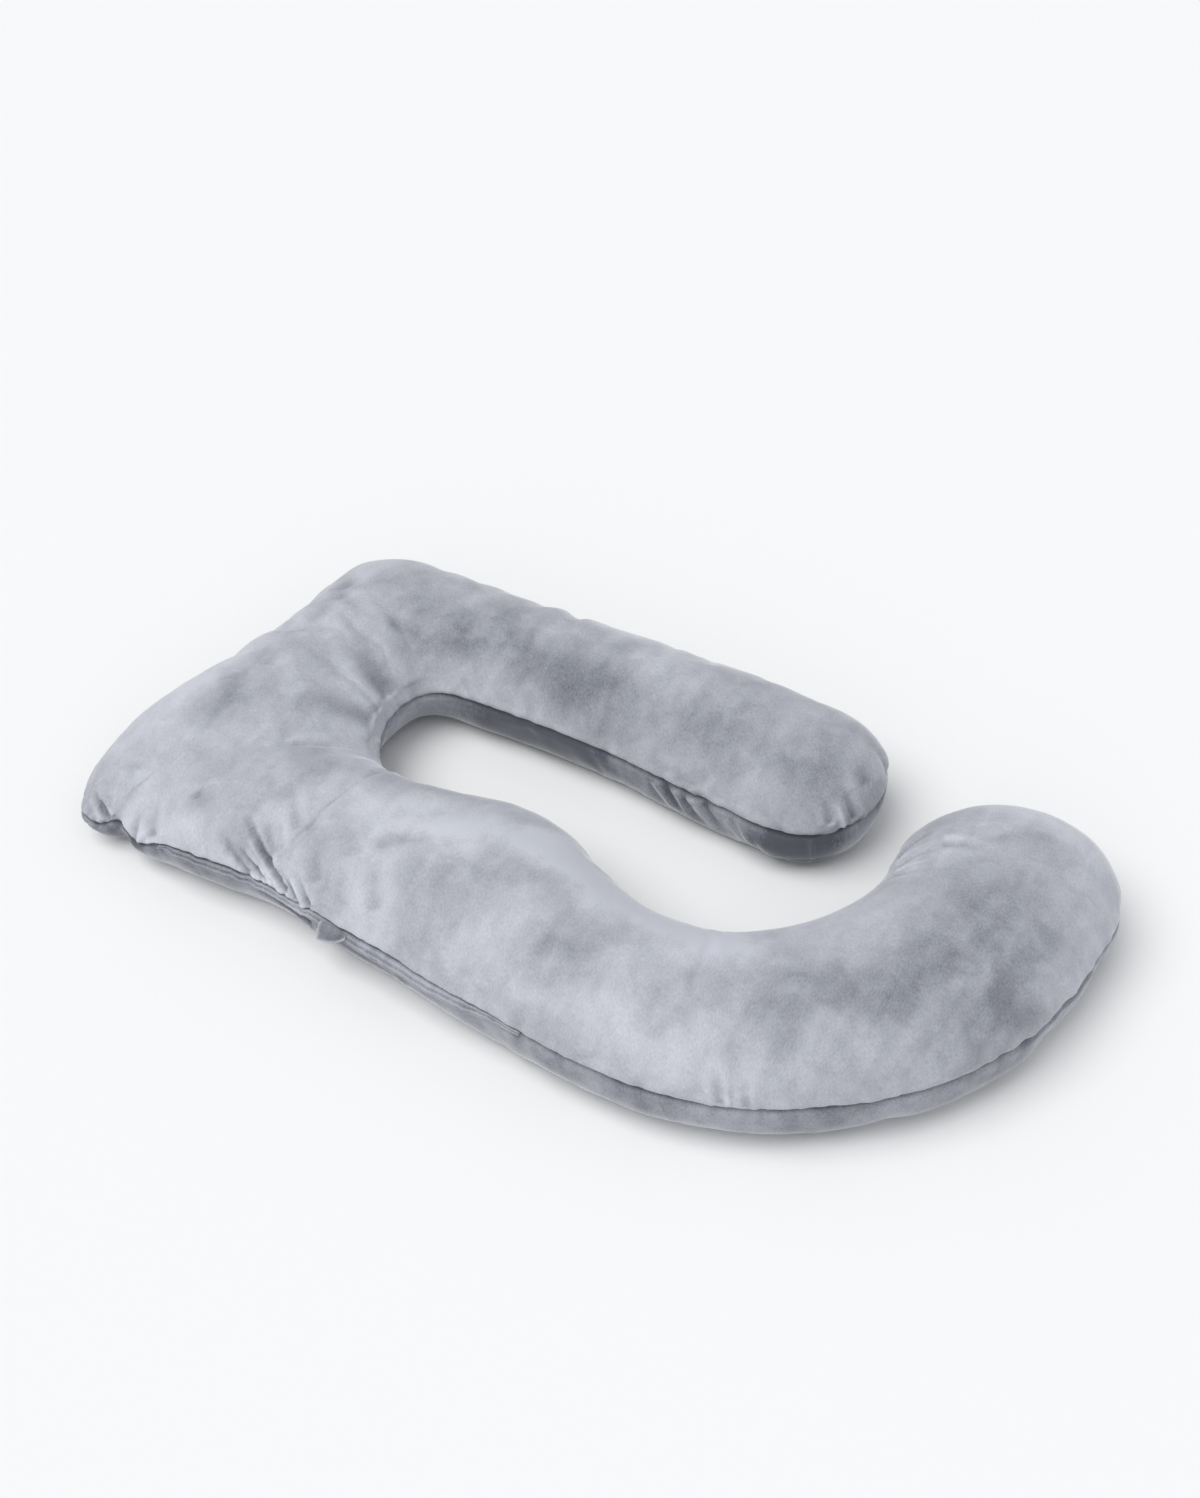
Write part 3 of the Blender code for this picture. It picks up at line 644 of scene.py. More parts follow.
@dataclass(frozen=True)
class Velvet:
    """Short-pile velvet: its nap brushed into lighter and darker patches, with painted light and shade."""

    name: str
    light: tuple[float, float, float] = (0.590, 0.604, 0.664)
    dark: tuple[float, float, float] = (0.100, 0.108, 0.130)
    sheen_tint: tuple[float, float, float] = (0.97, 0.975, 1.0)
    sheen: float = 0.85
    sheen_roughness: float = 0.35
    roughness: float = 0.85
    specular: float = 0.15
    level: float = 0.70
    seam_shade: float = 0.24
    seam_reach: float = 0.0046
    crease_shade: float = 0.34
    broad: Grain = Grain(scale=7.0, detail=3.0, twist=0.6, weight=0.24)
    broad_edges: tuple[float, float] = (0.34, 0.66)
    cloud: Grain = Grain(scale=32.0, detail=5.0, twist=0.8, weight=0.34)
    brushed: Grain = Grain(scale=1.0, detail=3.0, twist=0.4, weight=0.28, stretch=(46.0, 13.0, 13.0))
    pile: Grain = Grain(scale=1.0, detail=2.0, twist=0.0, weight=0.46, stretch=(480.0, 190.0, 190.0))
    pile_height: float = 0.0006
    relief: float = 0.8
    patches: tuple[NapAndPaintedLightPatch, ...] = ()

    def material(self) -> bpy.types.Material:
        """Builds the material.

        Returns:
            The velvet, with its pattern on the piece's own flat map.
        """
        shader = Shader(self.name)
        flat = shader.node("ShaderNodeUVMap", {"uv_map": FLAT_MAP})
        broad = self.broad.noise(shader, flat).eased(*self.broad_edges) - NOISE_MIDDLE
        cloud = self.cloud.noise(shader, flat) - NOISE_MIDDLE
        brushed = self.brushed.noise(shader, flat) - NOISE_MIDDLE
        pile = self.pile.noise(shader, flat)
        factor = broad * self.broad.weight + cloud * self.cloud.weight + brushed * self.brushed.weight
        factor = factor + (pile - NOISE_MIDDLE) * self.pile.weight + self.level
        # Painted shade along the seam's groove.
        if self.seam_shade:
            gap = shader.stored(SEAM_GAP)
            factor = factor - (1.0 - gap.eased(0.0, self.seam_reach)) * self.seam_shade
        # Painted shade in creases, where the nap also lies darker, and painted light on ridges.
        factor = factor - shader.stored(PAINTED_SHADE_AND_LIGHT) * self.crease_shade
        # Patches of brushed nap and of painted light and shade.
        for patch in self.patches:
            factor = factor - self._patch(shader, flat, patch) * patch.shade
        height = pile + brushed * self.relief + cloud * self.relief
        bump = {"Height": height, "Strength": self.relief, "Distance": self.pile_height}
        shader.dress(
            {
                "Base Color": shader.mixed(factor, self.dark, self.light),
                "Normal": shader.node("ShaderNodeBump", None, bump),
                "Roughness": self.roughness,
                "Specular IOR Level": self.specular,
                "Sheen Weight": self.sheen,
                "Sheen Roughness": self.sheen_roughness,
                "Sheen Tint": (*self.sheen_tint, 1.0),
            }
        )
        return shader.material

    @staticmethod
    def _patch(shader: Shader, flat: Socket, patch: NapAndPaintedLightPatch) -> Socket:
        """Draws one patch of nap and painted light as a soft oval.

        Args:
            shader: The shader.
            flat: The place on the cloth as it was cut.
            patch: The patch.

        Returns:
            How much of the patch there is at each place, from 0 to 1.
        """
        shift = LOWER_PANEL_OFFSET if patch.panel is Panel.LOWER else 0.0
        centred = shader.vector("SUBTRACT", flat, (patch.middle[0] + shift, patch.middle[1] + shift, 0.0))
        scaled = shader.vector("MULTIPLY", centred, (1 / patch.size[0], 1 / patch.size[1], 0.0))
        away = shader.node("ShaderNodeVectorMath", {"operation": "LENGTH"}, {0: scaled}, "Value")
        return 1.0 - away.eased(0.0, 1.0)


@dataclass(frozen=True)
class PaintedFloor:
    """The plain pale floor."""

    name: str = "pale floor"
    color: tuple[float, float, float] = (0.90, 0.90, 0.90)
    roughness: float = 0.9
    specular: float = 0.1

    def material(self) -> bpy.types.Material:
        """Builds the material.

        Returns:
            The floor's even, matt paint.
        """
        shader = Shader(self.name)
        color = (*self.color, 1.0)
        shader.dress({"Base Color": color, "Roughness": self.roughness, "Specular IOR Level": self.specular})
        return shader.material


@dataclass
class Outline:
    """The bolster's outline and fill, read from the table of sections at any place along it."""

    sections: tuple[Section, ...]
    tips: Mapping[End, Tip]
    base_contact: float = 0.86
    base_power: float = 1.8
    side_points: int = 400
    tip_points: int = 41

    def __post_init__(self) -> None:
        """Measures the table along the outer edge and lays its columns out."""
        self.outer = np.array([section.outer for section in self.sections])
        self.inner = np.array([section.inner for section in self.sections])
        self.crown = np.array([section.crown for section in self.sections])
        self.outer_seam = np.array([section.outer_seam for section in self.sections])
        self.inner_seam = np.array([section.inner_seam for section in self.sections])
        self.pinch = np.array([section.pinch for section in self.sections])
        steps = np.linalg.norm(np.diff(self.outer, axis=0), axis=1)
        self.along = np.concatenate([[0.0], np.cumsum(steps)])

    def place_of(self, name: str) -> float:
        """Returns how far along the outer edge a named section lies."""
        return float(self.along[[section.place for section in self.sections].index(name)])

    def ends(self) -> tuple[tuple[End, float], ...]:
        """Returns both ends, with how far along the outer edge each one starts."""
        return (End.SHORT_ARM, 0.0), (End.HOOK, float(self.along[-1]))

    def read(self, column: np.ndarray, distance: np.ndarray) -> np.ndarray:
        """Reads one of the table's columns at places along the bolster."""
        return hermite(column, self.along, np.atleast_1d(distance))

    def middle_offset(self) -> np.ndarray:
        """Fits the table's outline to the pillow's solid.

        Returns:
            How far the table's own origin lies from the middle of the solid's base, in x and y.
        """
        distance = np.linspace(0.0, self.along[-1], self.side_points)
        across = np.linspace(-1.0, 1.0, self.tip_points)
        rims = [
            self.plan(distance, np.full_like(distance, side), np.zeros_like(distance), None)
            for side in (-1.0, 1.0)
        ]
        for end, at in self.ends():
            rims.append(self.plan(np.full_like(across, at), across, np.ones_like(across), end))
        rim = np.vstack(rims)
        low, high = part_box("pillow")
        middle = np.array([(low[0] + high[0]) / 2, (low[1] + high[1]) / 2])
        return middle - (rim.min(axis=0) + rim.max(axis=0)) / 2

    def plan(
        self, distance: np.ndarray, across: np.ndarray, into_tip: np.ndarray, end: End | None
    ) -> np.ndarray:
        """Lays points out in plan.

        Args:
            distance: How far along the bolster each point lies.
            across: -1 at the inner edge and 1 at the outer one.
            into_tip: How far into the end's round each point lies, from 0 to 1.
            end: The end that the points belong to, or None between the ends.

        Returns:
            Two columns, x and y.
        """
        outer = self.read(self.outer, distance)
        inner = self.read(self.inner, distance)
        middle = (outer + inner) / 2
        half = (outer - inner) / 2
        if end is None:
            return middle + half * across[:, None]
        tip = self.tips[end]
        forward = np.stack([half[:, 1], -half[:, 0]], axis=1)
        forward /= np.linalg.norm(forward, axis=1)[:, None]
        if end is End.HOOK:
            forward = -forward
        reach = tip.reach * into_tip * np.sqrt(1 - tip.roundness * across**2 / 2)
        width = across * np.sqrt(1 - tip.roundness * into_tip**2 / 2)
        return middle + half * width[:, None] + forward * reach[:, None]

    def height(
        self, distance: np.ndarray, across: np.ndarray, into_tip: np.ndarray, panel: Panel
    ) -> np.ndarray:
        """Works out how high the points of a panel lie.

        Args:
            distance: How far along the bolster each point lies.
            across: -1 at the inner edge and 1 at the outer one.
            into_tip: How far into the end's round each point lies, from 0 to 1.
            panel: The panel that the points belong to.

        Returns:
            One height for each point.
        """
        share = (across + 1) / 2
        inner = self.read(self.inner_seam, distance)[:, 0]
        outer = self.read(self.outer_seam, distance)[:, 0]
        seam = inner + (outer - inner) * share
        fill = np.sqrt(np.clip((1 - across**2) * (1 - into_tip**2), 0.0, 1.0))
        if panel is Panel.LOWER:
            return seam * np.clip(1 - fill / self.base_contact, 0.0, 1.0) ** self.base_power
        pinch = self.read(self.pinch, distance)[:, 0] * share**2
        return seam + (self.read(self.crown, distance)[:, 0] - seam) * fill ** (1 + pinch)


@dataclass(frozen=True)
class Puckers:
    """The small gathers that run away from the seam, with the ranges that their sizes lie in."""

    spacing: float = 0.021
    jitter: float = 0.4
    depth: float = 0.0022
    length: float = 0.030
    widths: tuple[float, float] = (0.0035, 0.0080)
    depth_shares: tuple[float, float] = (0.2, 1.0)
    depth_power: float = 1.5
    length_shares: tuple[float, float] = (0.4, 1.3)
    lean: float = 0.35
    rim_height: float = 0.5
    rim_place: float = 1.8
    seed: int = 41

    def pressed(self, at: np.ndarray, gap: np.ndarray, length: float) -> np.ndarray:
        """Works out how deep the gathers press the cloth in.

        Args:
            at: Where along the seam each vertex lies.
            gap: How far each vertex lies from the seam.
            length: The whole length of the seam.

        Returns:
            One depth for each vertex, below zero between the gathers.
        """
        chance = np.random.default_rng(self.seed)
        count = round(length / self.spacing)
        centres = (np.arange(count) + chance.uniform(-self.jitter, self.jitter, count)) * length / count
        widths = chance.uniform(*self.widths, count)
        depths = chance.uniform(*self.depth_shares, count) ** self.depth_power * self.depth
        reaches = chance.uniform(*self.length_shares, count) * self.length
        leans = chance.uniform(-self.lean, self.lean, count)
        total = np.zeros(len(at))
        near = np.flatnonzero(gap < self.length * 2)
        away = gap[near]
        for centre, width, depth, reach, lean in zip(centres, widths, depths, reaches, leans):
            aside = (at[near] - centre - lean * away + length / 2) % length - length / 2
            aside = aside / (width * (1 + away / reach))
            rims = self.rim_height * np.exp(-((np.abs(aside) - self.rim_place) ** 2))
            total[near] += depth * (np.exp(-(aside**2)) - rims) * np.exp(-((away / reach) ** 2))
        return total


@dataclass(frozen=True)
class Filling:
    """The soft lumps that the filling makes in the cover, above its flat contact."""

    lump_height: float = 0.0030
    lump_scale: float = 8.5
    lump_shift: float = 3.1
    dimple_height: float = 0.0009
    dimple_scale: float = 26.0
    dimple_shift: float = 7.7
    full_above: float = 0.05

    def lifted(self, places: np.ndarray) -> np.ndarray:
        """Works out how far the filling lifts the cloth.

        Args:
            places: Where the cloth's vertices lie, one row each.

        Returns:
            One height for each vertex, below zero in the hollows.
        """
        lift = np.empty(len(places))
        for index, spot in enumerate(places.tolist()):
            x, y, z = (value * self.lump_scale for value in spot)
            broad = noise.noise((x + self.lump_shift, y, z))
            x, y, z = (value * self.dimple_scale for value in spot)
            small = noise.noise((x, y + self.dimple_shift, z))
            lift[index] = broad * self.lump_height + small * self.dimple_height
        return lift * smooth_step(places[:, 2] / self.full_above)


@dataclass
class Pillow:
    """The filled velvet bolster: two panels, their seam, and the folds of the cover."""

    outline: Outline
    folds: tuple[Fold, ...]
    gathers: tuple[Gather, ...]
    finish: Velvet
    stretches: tuple[Stretch, ...] = FINE_STRETCHES
    puckers: Puckers = Puckers()
    filling: Filling = Filling()
    pitch: float = 0.0125
    pitch_eased_over: float = 4.0
    pitch_samples: int = 2000
    steps_across: Mapping[Panel, int] = field(default_factory=lambda: {Panel.UPPER: 36, Panel.LOWER: 18})
    seam_crowding: float = 0.5
    steps_in_tip: int = 16
    sewing_distance: float = 1e-5
    lying_below: float = 0.0005
    inflation_frames: int = 20
    slack: float = 0.008
    swelling_smoothing: int = 12
    kept_swelling: float = 0.15
    seam_depth: float = 0.0055
    seam_width: float = 0.0034
    lip_height: float = 0.0014
    lip_place: float = 0.0090
    lip_width: float = 0.0080
    loose_gather: float = 0.50
    narrow_fold: float = 0.010
    finer_widths: float = 2.6
    finer_margin: float = 0.004
    fold_points: int = 31
    fold_reach: float = 4.0
    fold_lift: float = 0.03
    fold_start: float = 0.08
    fold_fading: float = 0.8
    fold_rim: float = 0.35
    fold_rim_place: float = 2.1
    deepest_fold: float = 0.0120
    held_at_seam: float = 0.38
    held_reach: float = 0.008
    full_crease: float = 0.0050
    corner_reach: float = 0.030
    corner_smoothing: int = 10
    corner_ease: float = 0.6
    offset: np.ndarray = field(init=False)

    def __post_init__(self) -> None:
        """Finds where the table's origin lies in the frame."""
        self.offset = self.outline.middle_offset()

    def build(self) -> bpy.types.Object:
        """Builds the whole pillow.

        Returns:
            The finished piece.
        """
        piece = add_object("pillow_cover", self._sewn())
        self._inflate(piece)
        self._refine(piece)
        lift = self.filling.lifted(coordinates(piece.data))
        set_coordinates(piece.data, coordinates(piece.data) + normals(piece.data) * lift[:, None])
        at, gap, length = self._measured_from_seam(piece.data)
        pressed = self._fold(piece.data, gap)
        pressed += self._draw_seam_in(piece.data, at, gap, length)
        self._write(piece.data, SEAM_GAP, gap)
        # Painted shade where the folds and gathers press the cloth in, painted light on their ridges.
        self._write(piece.data, PAINTED_SHADE_AND_LIGHT, np.clip(pressed / self.full_crease, -1.0, 1.0))
        self._rest(piece.data)
        piece.data.materials.append(self.finish.material())
        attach(piece, "root")
        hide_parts("pillow")
        return piece

    def _stations(self) -> list[tuple[float, float, End | None]]:
        """Lists the rows of points along the bolster, closer together where the folds are narrow.

        Returns:
            For each row its distance along, how far into the tip it lies, and which end it is on.
        """
        length = self.outline.along[-1]
        steps = range(1, self.steps_in_tip + 1)
        turns = [math.sin(math.pi / 2 * step / self.steps_in_tip) for step in steps]
        fine = np.linspace(0.0, length, self.pitch_samples)
        pitch = np.full_like(fine, self.pitch)
        for stretch in self.stretches:
            start, stop = (self.outline.place_of(name) for name in (stretch.start, stretch.stop))
            outside = np.maximum(start - fine, fine - stop) / (self.pitch_eased_over * self.pitch)
            eased = stretch.pitch + (self.pitch - stretch.pitch) * smooth_step(outside)
            pitch = np.minimum(pitch, eased)
        count = np.concatenate([[0.0], np.cumsum(np.diff(fine) / pitch[1:])])
        distances = np.interp(np.linspace(0.0, count[-1], round(count[-1]) + 1), count, fine)
        rows = [(0.0, turn, End.SHORT_ARM) for turn in reversed(turns)]
        rows += [(float(distance), 0.0, None) for distance in distances]
        rows += [(length, turn, End.HOOK) for turn in turns]
        return rows

    def _panel(self, rows: Sequence[tuple[float, float, End | None]], panel: Panel) -> bpy.types.Mesh:
        """Lays out one panel, with its flat map.

        Args:
            rows: The rows of points along the bolster.
            panel: Which of the two panels it is.

        Returns:
            The panel's mesh, open at its edge.
        """
        shape = bmesh.new()
        steps = self.steps_across[panel]
        bmesh.ops.create_grid(shape, x_segments=len(rows) - 1, y_segments=steps, size=1.0)
        mesh = bpy.data.meshes.new(panel.value)
        shape.to_mesh(mesh)
        shape.free()
        grid = coordinates(mesh)
        row = np.rint((grid[:, 0] + 1) / 2 * (len(rows) - 1)).astype(int)
        share = (grid[:, 1] + 1) / 2
        angle = math.pi * share - self.seam_crowding / 2 * np.sin(2 * math.pi * share)
        across = -np.cos(angle)
        across[share < ON_THE_EDGE] = -1.0
        across[share > 1 - ON_THE_EDGE] = 1.0
        distance = np.array([item[0] for item in rows])[row]
        into_tip = np.array([item[1] for item in rows])[row]
        spots = np.zeros_like(grid)
        for end in (None, *End):
            chosen = np.array([item[2] is end for item in rows])[row]
            spots[chosen, :2] = self.outline.plan(distance[chosen], across[chosen], into_tip[chosen], end)
        spots[:, 2] = self.outline.height(distance, across, into_tip, panel)
        spots[:, :2] += self.offset
        set_coordinates(mesh, spots)
        self._write_flat_map(mesh, spots, row, np.rint(share * steps).astype(int), panel)
        return mesh

    def _write_flat_map(
        self, mesh: bpy.types.Mesh, spots: np.ndarray, row: np.ndarray, column: np.ndarray, panel: Panel
    ) -> None:
        """Maps a panel as it was cut, flat, in metres.

        Args:
            mesh: The panel.
            spots: Where its vertices lie.
            row: Each vertex's row along the bolster.
            column: Each vertex's column across it.
            panel: Which of the two panels it is.
        """
        ordered = np.zeros((row.max() + 1, column.max() + 1, 3))
        ordered[row, column] = spots
        middle = column.max() // 2
        steps = np.linalg.norm(np.diff(ordered, axis=1), axis=2)
        arc = np.concatenate([np.zeros((len(ordered), 1)), np.cumsum(steps, axis=1)], axis=1)
        arc -= arc[:, middle : middle + 1]
        run = ordered[:, -1, :2] - ordered[:, 0, :2]
        run /= np.linalg.norm(run, axis=1)[:, None]
        flat = ordered[:, middle, None, :2] + run[:, None] * arc[:, :, None]
        flat = flat[row, column]
        if panel is Panel.LOWER:
            flat = flat + LOWER_PANEL_OFFSET
        corner = np.empty(len(mesh.loops), dtype=np.int32)
        mesh.loops.foreach_get("vertex_index", corner)
        layer = mesh.uv_layers.new(name=FLAT_MAP)
        layer.data.foreach_set("uv", flat[corner].ravel())

    def _sewn(self) -> bmesh.types.BMesh:
        """Sews the two panels together round their whole edge.

        Returns:
            One closed shape, its seam marked.
        """
        rows = self._stations()
        shape = bmesh.new()
        for panel in Panel:
            mesh = self._panel(rows, panel)
            shape.from_mesh(mesh)
            bpy.data.meshes.remove(mesh)
        border = [edge for edge in shape.edges if edge.is_boundary]
        for edge in border:
            edge.seam = True
        rim = in_order(shape, {vertex for edge in border for vertex in edge.verts})
        bmesh.ops.remove_doubles(shape, verts=rim, dist=self.sewing_distance)
        self._sew_ends(shape)
        bmesh.ops.recalc_face_normals(shape, faces=shape.faces)
        return shape

    def _sew_ends(self, shape: bmesh.types.BMesh) -> None:
        """Sews the panels together round the two ends, where the lower one has half as many vertices.

        Args:
            shape: Both panels, joined along their sides, with the ends still open.
        """
        flat = shape.loops.layers.uv[FLAT_MAP]
        border = [edge for edge in shape.edges if edge.is_boundary]
        lower = [edge for edge in border if edge.link_loops[0][flat].uv.x > LOWER_PANEL_OFFSET / 2]
        shared = {vertex for edge in lower for vertex in edge.verts}
        single = in_order(shape, {vertex for edge in border for vertex in edge.verts} - shared)
        tree = kdtree.KDTree(len(single))
        for index, vertex in enumerate(single):
            tree.insert(vertex.co, index)
        tree.balance()
        for edge in lower:
            middle = bmesh.utils.edge_split(edge, edge.verts[0], 0.5)[1]
            middle.co = tree.find(middle.co)[0]
            single.append(middle)
        bmesh.ops.remove_doubles(shape, verts=single, dist=self.sewing_distance)
        left_open = sum(edge.is_boundary for edge in shape.edges)
        if left_open:
            raise RuntimeError(f"{left_open} edges of the cover are not sewn")

    def _inflate(self, piece: bpy.types.Object) -> None:
        """Blows the cover up as cloth, with its seam drawn a little shorter.

        Args:
            piece: The sewn cover, which keeps the shape that it settles in.
        """
        before = coordinates(piece.data)
        seam = sorted({corner for edge in piece.data.edges if edge.use_seam for corner in edge.vertices})
        lying = np.flatnonzero(before[:, 2] < self.lying_below).tolist()
        piece.vertex_groups.new(name="seam").add(seam, 1.0, "REPLACE")
        piece.vertex_groups.new(name="lying").add(lying, 1.0, "REPLACE")
        cloth = piece.modifiers.new("cloth", "CLOTH")
        for name, value in CLOTH.items():
            setattr(cloth.settings, name, value)
        cloth.settings.effector_weights.gravity = 0.0
        cloth.collision_settings.use_collision = False
        for number in range(self.inflation_frames):
            bpy.context.scene.frame_set(number + 1)
        settled = evaluated_copy(piece)
        moved = coordinates(settled) - before
        bpy.data.meshes.remove(settled)
        bpy.context.scene.frame_set(1)
        piece.modifiers.remove(cloth)
        piece.vertex_groups.clear()
        swelling = smoothed(piece.data, moved, self.swelling_smoothing)
        kept = moved - swelling * (1 - self.kept_swelling)
        length = np.linalg.norm(kept, axis=1)[:, None]
        log.info("cloth moved by %.1f mm, %.1f mm kept", np.abs(moved).max() * 1e3, length.max() * 1e3)
        limited = kept * (np.tanh(length / self.slack) * self.slack / np.maximum(length, SMALLEST_LENGTH))
        self._displace(piece.data, limited)

    def _refine(self, piece: bpy.types.Object) -> None:
        """Subdivides the cover once all over, and once more where its folds are narrow.

        Args:
            piece: The cover, whose mesh is replaced.
        """
        finer = piece.modifiers.new("finer", "SUBSURF")
        finer.levels = 1
        finer.render_levels = 1
        mesh = evaluated_copy(piece)
        piece.modifiers.remove(finer)
        old = piece.data
        piece.data = mesh
        bpy.data.meshes.remove(old)
        mesh.name = piece.name
        places = coordinates(mesh)
        near = np.zeros(len(places), dtype=bool)
        for fold in self.folds:
            if fold.width < self.narrow_fold:
                line = self._line_of(fold, None)[::3]
                gap = np.min(np.linalg.norm(places[:, None, :] - line[None], axis=2), axis=1)
                near |= gap < fold.width * self.finer_widths + self.finer_margin
        near &= self._corner_share(places) < 0.5
        shape = bmesh.new()
        shape.from_mesh(mesh)
        shape.verts.ensure_lookup_table()
        for corner in {corner for edge in shape.edges if edge.seam for corner in edge.verts}:
            near[corner.index] = False
        edges = [edge for edge in shape.edges if all(near[corner.index] for corner in edge.verts)]
        bmesh.ops.subdivide_edges(shape, edges=edges, cuts=1, use_grid_fill=True)
        shape.to_mesh(mesh)
        shape.free()
        mesh.shade_smooth()
        log.info("cover has %d faces, %d of its edges refined", len(mesh.polygons), len(edges))

    def _line_of(self, fold: Fold, surface: BVHTree | None) -> np.ndarray:
        """Draws a fold's line.

        Args:
            fold: The fold.
            surface: The cover that the line is laid on, or None to leave it as the table says.

        Returns:
            Points along the line, one row each.
        """
        start = np.array(fold.start) + (*self.offset, 0.0)
        end = np.array(fold.end) + (*self.offset, 0.0)
        run = end - start
        aside = np.array([-run[1], run[0], 0.0]) / math.hypot(run[0], run[1])
        share = np.linspace(0.0, 1.0, self.fold_points)[:, None]
        line = start + run * share + aside * (4 * fold.bow * share * (1 - share))
        if surface is None:
            return line
        return np.array([surface.find_nearest(Vector(spot))[0] for spot in line])

    def _fold(self, mesh: bpy.types.Mesh, seam_gap: np.ndarray) -> np.ndarray:
        """Presses the folds into the cover.

        Args:
            mesh: The cover.
            seam_gap: How far each vertex lies from the seam, where the stitches hold the cloth.

        Returns:
            How far each vertex was pressed in, below zero on the ridges.
        """
        places = coordinates(mesh)
        facing = normals(mesh)
        surface = BVHTree.FromPolygons(places.tolist(), [list(face.vertices) for face in mesh.polygons])
        depth = np.zeros(len(places))
        for fold in self.folds:
            line = self._line_of(fold, surface)
            reach = fold.width * self.fold_reach
            low, high = line.min(axis=0) - reach, line.max(axis=0) + reach
            near = np.flatnonzero(np.all((places > low) & (places < high), axis=1))
            away = places[near, None, :] - line[None]
            lift = np.einsum("vls,vs->vl", away, facing[near])
            gap = np.sqrt(np.maximum(np.sum(away**2, axis=2) - lift**2, 0.0))
            gap[np.abs(lift) > self.fold_lift] = 1.0
            nearest = np.argmin(gap, axis=1)
            aside = gap[np.arange(len(near)), nearest] / fold.width
            along = nearest / (len(line) - 1)
            fade = smooth_step(along / self.fold_start) * (1 - along) ** self.fold_fading
            rim = self.fold_rim * np.exp(-((aside - self.fold_rim_place) ** 2))
            depth[near] += fold.depth * fade * (np.exp(-(aside**2)) - rim)
        held = self.held_at_seam + (1 - self.held_at_seam) * smooth_step(seam_gap / self.held_reach)
        limit = self.deepest_fold * held
        depth = np.tanh(depth / limit) * limit
        self._displace(mesh, -facing * depth[:, None])
        return depth

    def _seam_loop(self, mesh: bpy.types.Mesh) -> np.ndarray:
        """Walks along the seam once round.

        Args:
            mesh: The cover, its seam marked.

        Returns:
            The numbers of the seam's vertices, in order.
        """
        neighbours: dict[int, list[int]] = {}
        for edge in mesh.edges:
            if edge.use_seam:
                first, second = edge.vertices
                neighbours.setdefault(first, []).append(second)
                neighbours.setdefault(second, []).append(first)
        start = min(neighbours)
        loop = [start]
        here, before = neighbours[start][0], start
        while here != start and len(loop) < len(neighbours):
            loop.append(here)
            ahead = [corner for corner in neighbours[here] if corner != before]
            here, before = ahead[0], here
        return np.array(loop)

    def _measured_from_seam(self, mesh: bpy.types.Mesh) -> tuple[np.ndarray, np.ndarray, float]:
        """Measures where each vertex lies along the seam and how far from it.

        Args:
            mesh: The cover, its seam marked.

        Returns:
            The places along the seam, the distances from it, and the seam's whole length.
        """
        places = coordinates(mesh)
        loop = self._seam_loop(mesh)
        seam = places[loop]
        steps = np.linalg.norm(np.roll(seam, -1, axis=0) - seam, axis=1)
        run = np.concatenate([[0.0], np.cumsum(steps)])
        tree = kdtree.KDTree(len(loop) * 2)
        for index, spot in enumerate(seam):
            tree.insert(Vector(spot), index * 2)
            tree.insert(Vector((spot + seam[(index + 1) % len(loop)]) / 2), index * 2 + 1)
        tree.balance()
        found = [tree.find(Vector(spot)) for spot in places]
        gap = np.array([item[2] for item in found])
        gap[loop] = 0.0
        at = np.interp([item[1] / 2 for item in found], np.arange(len(run)), run)
        return at, gap, float(run[-1])

    def _draw_seam_in(
        self, mesh: bpy.types.Mesh, at: np.ndarray, gap: np.ndarray, length: float
    ) -> np.ndarray:
        """Draws the seam in, raises a lip on both sides of it and gathers the cloth along it.

        Args:
            mesh: The cover.
            at: Where along the seam each vertex lies.
            gap: How far each vertex lies from the seam.
            length: The seam's whole length.

        Returns:
            How far the gathers press each vertex in, below zero between them.
        """
        places = coordinates(mesh)
        facing = normals(mesh)
        strength = np.full(len(places), self.loose_gather)
        for gather in self.gathers:
            away = np.linalg.norm(places[:, :2] - (np.array(gather.middle) + self.offset), axis=1)
            strength = np.maximum(strength, gather.strength * (1 - smooth_step(away / gather.reach)))
        groove = self.seam_depth * np.exp(-((gap / self.seam_width) ** 2))
        groove *= 1 - self.corner_ease * self._corner_share(places)
        lip = self.lip_height * np.exp(-(((gap - self.lip_place) / self.lip_width) ** 2))
        pucker = self.puckers.pressed(at, gap, length) * strength * (1 - self._corner_share(places))
        self._displace(mesh, facing * (lip - groove - pucker)[:, None])
        return pucker

    @staticmethod
    def _write(mesh: bpy.types.Mesh, name: str, values: np.ndarray) -> None:
        """Keeps one value for each vertex, for the finish to read."""
        mesh.attributes.new(name, "FLOAT", "POINT").data.foreach_set("value", values)

    def _tip_corners(self) -> np.ndarray:
        """Finds where the rows meet the columns on the rim of the rounded ends.

        Returns:
            One row for each of these corners.
        """
        sides = np.array([-1.0, 1.0])
        corners = []
        for end, at in self.outline.ends():
            distance = np.full(2, at)
            flat = self.outline.plan(distance, sides, np.ones(2), end) + self.offset
            height = self.outline.height(distance, sides, np.ones(2), Panel.UPPER)
            corners.append(np.column_stack([flat, height]))
        return np.vstack(corners)

    def _corner_share(self, places: np.ndarray) -> np.ndarray:
        """Returns how near each place lies to a rounded end's corner, from 0 to 1."""
        away = np.linalg.norm(places[:, None, :] - self._tip_corners()[None], axis=2).min(axis=1)
        return 1 - smooth_step(away / self.corner_reach)

    def _displace(self, mesh: bpy.types.Mesh, shift: np.ndarray) -> None:
        """Moves the cover's vertices, more evenly round the corners of its rounded ends.

        Args:
            mesh: The cover.
            shift: How far each vertex moves, one row each.
        """
        places = coordinates(mesh)
        even = smoothed(mesh, shift, self.corner_smoothing)
        set_coordinates(mesh, places + shift + (even - shift) * self._corner_share(places)[:, None])

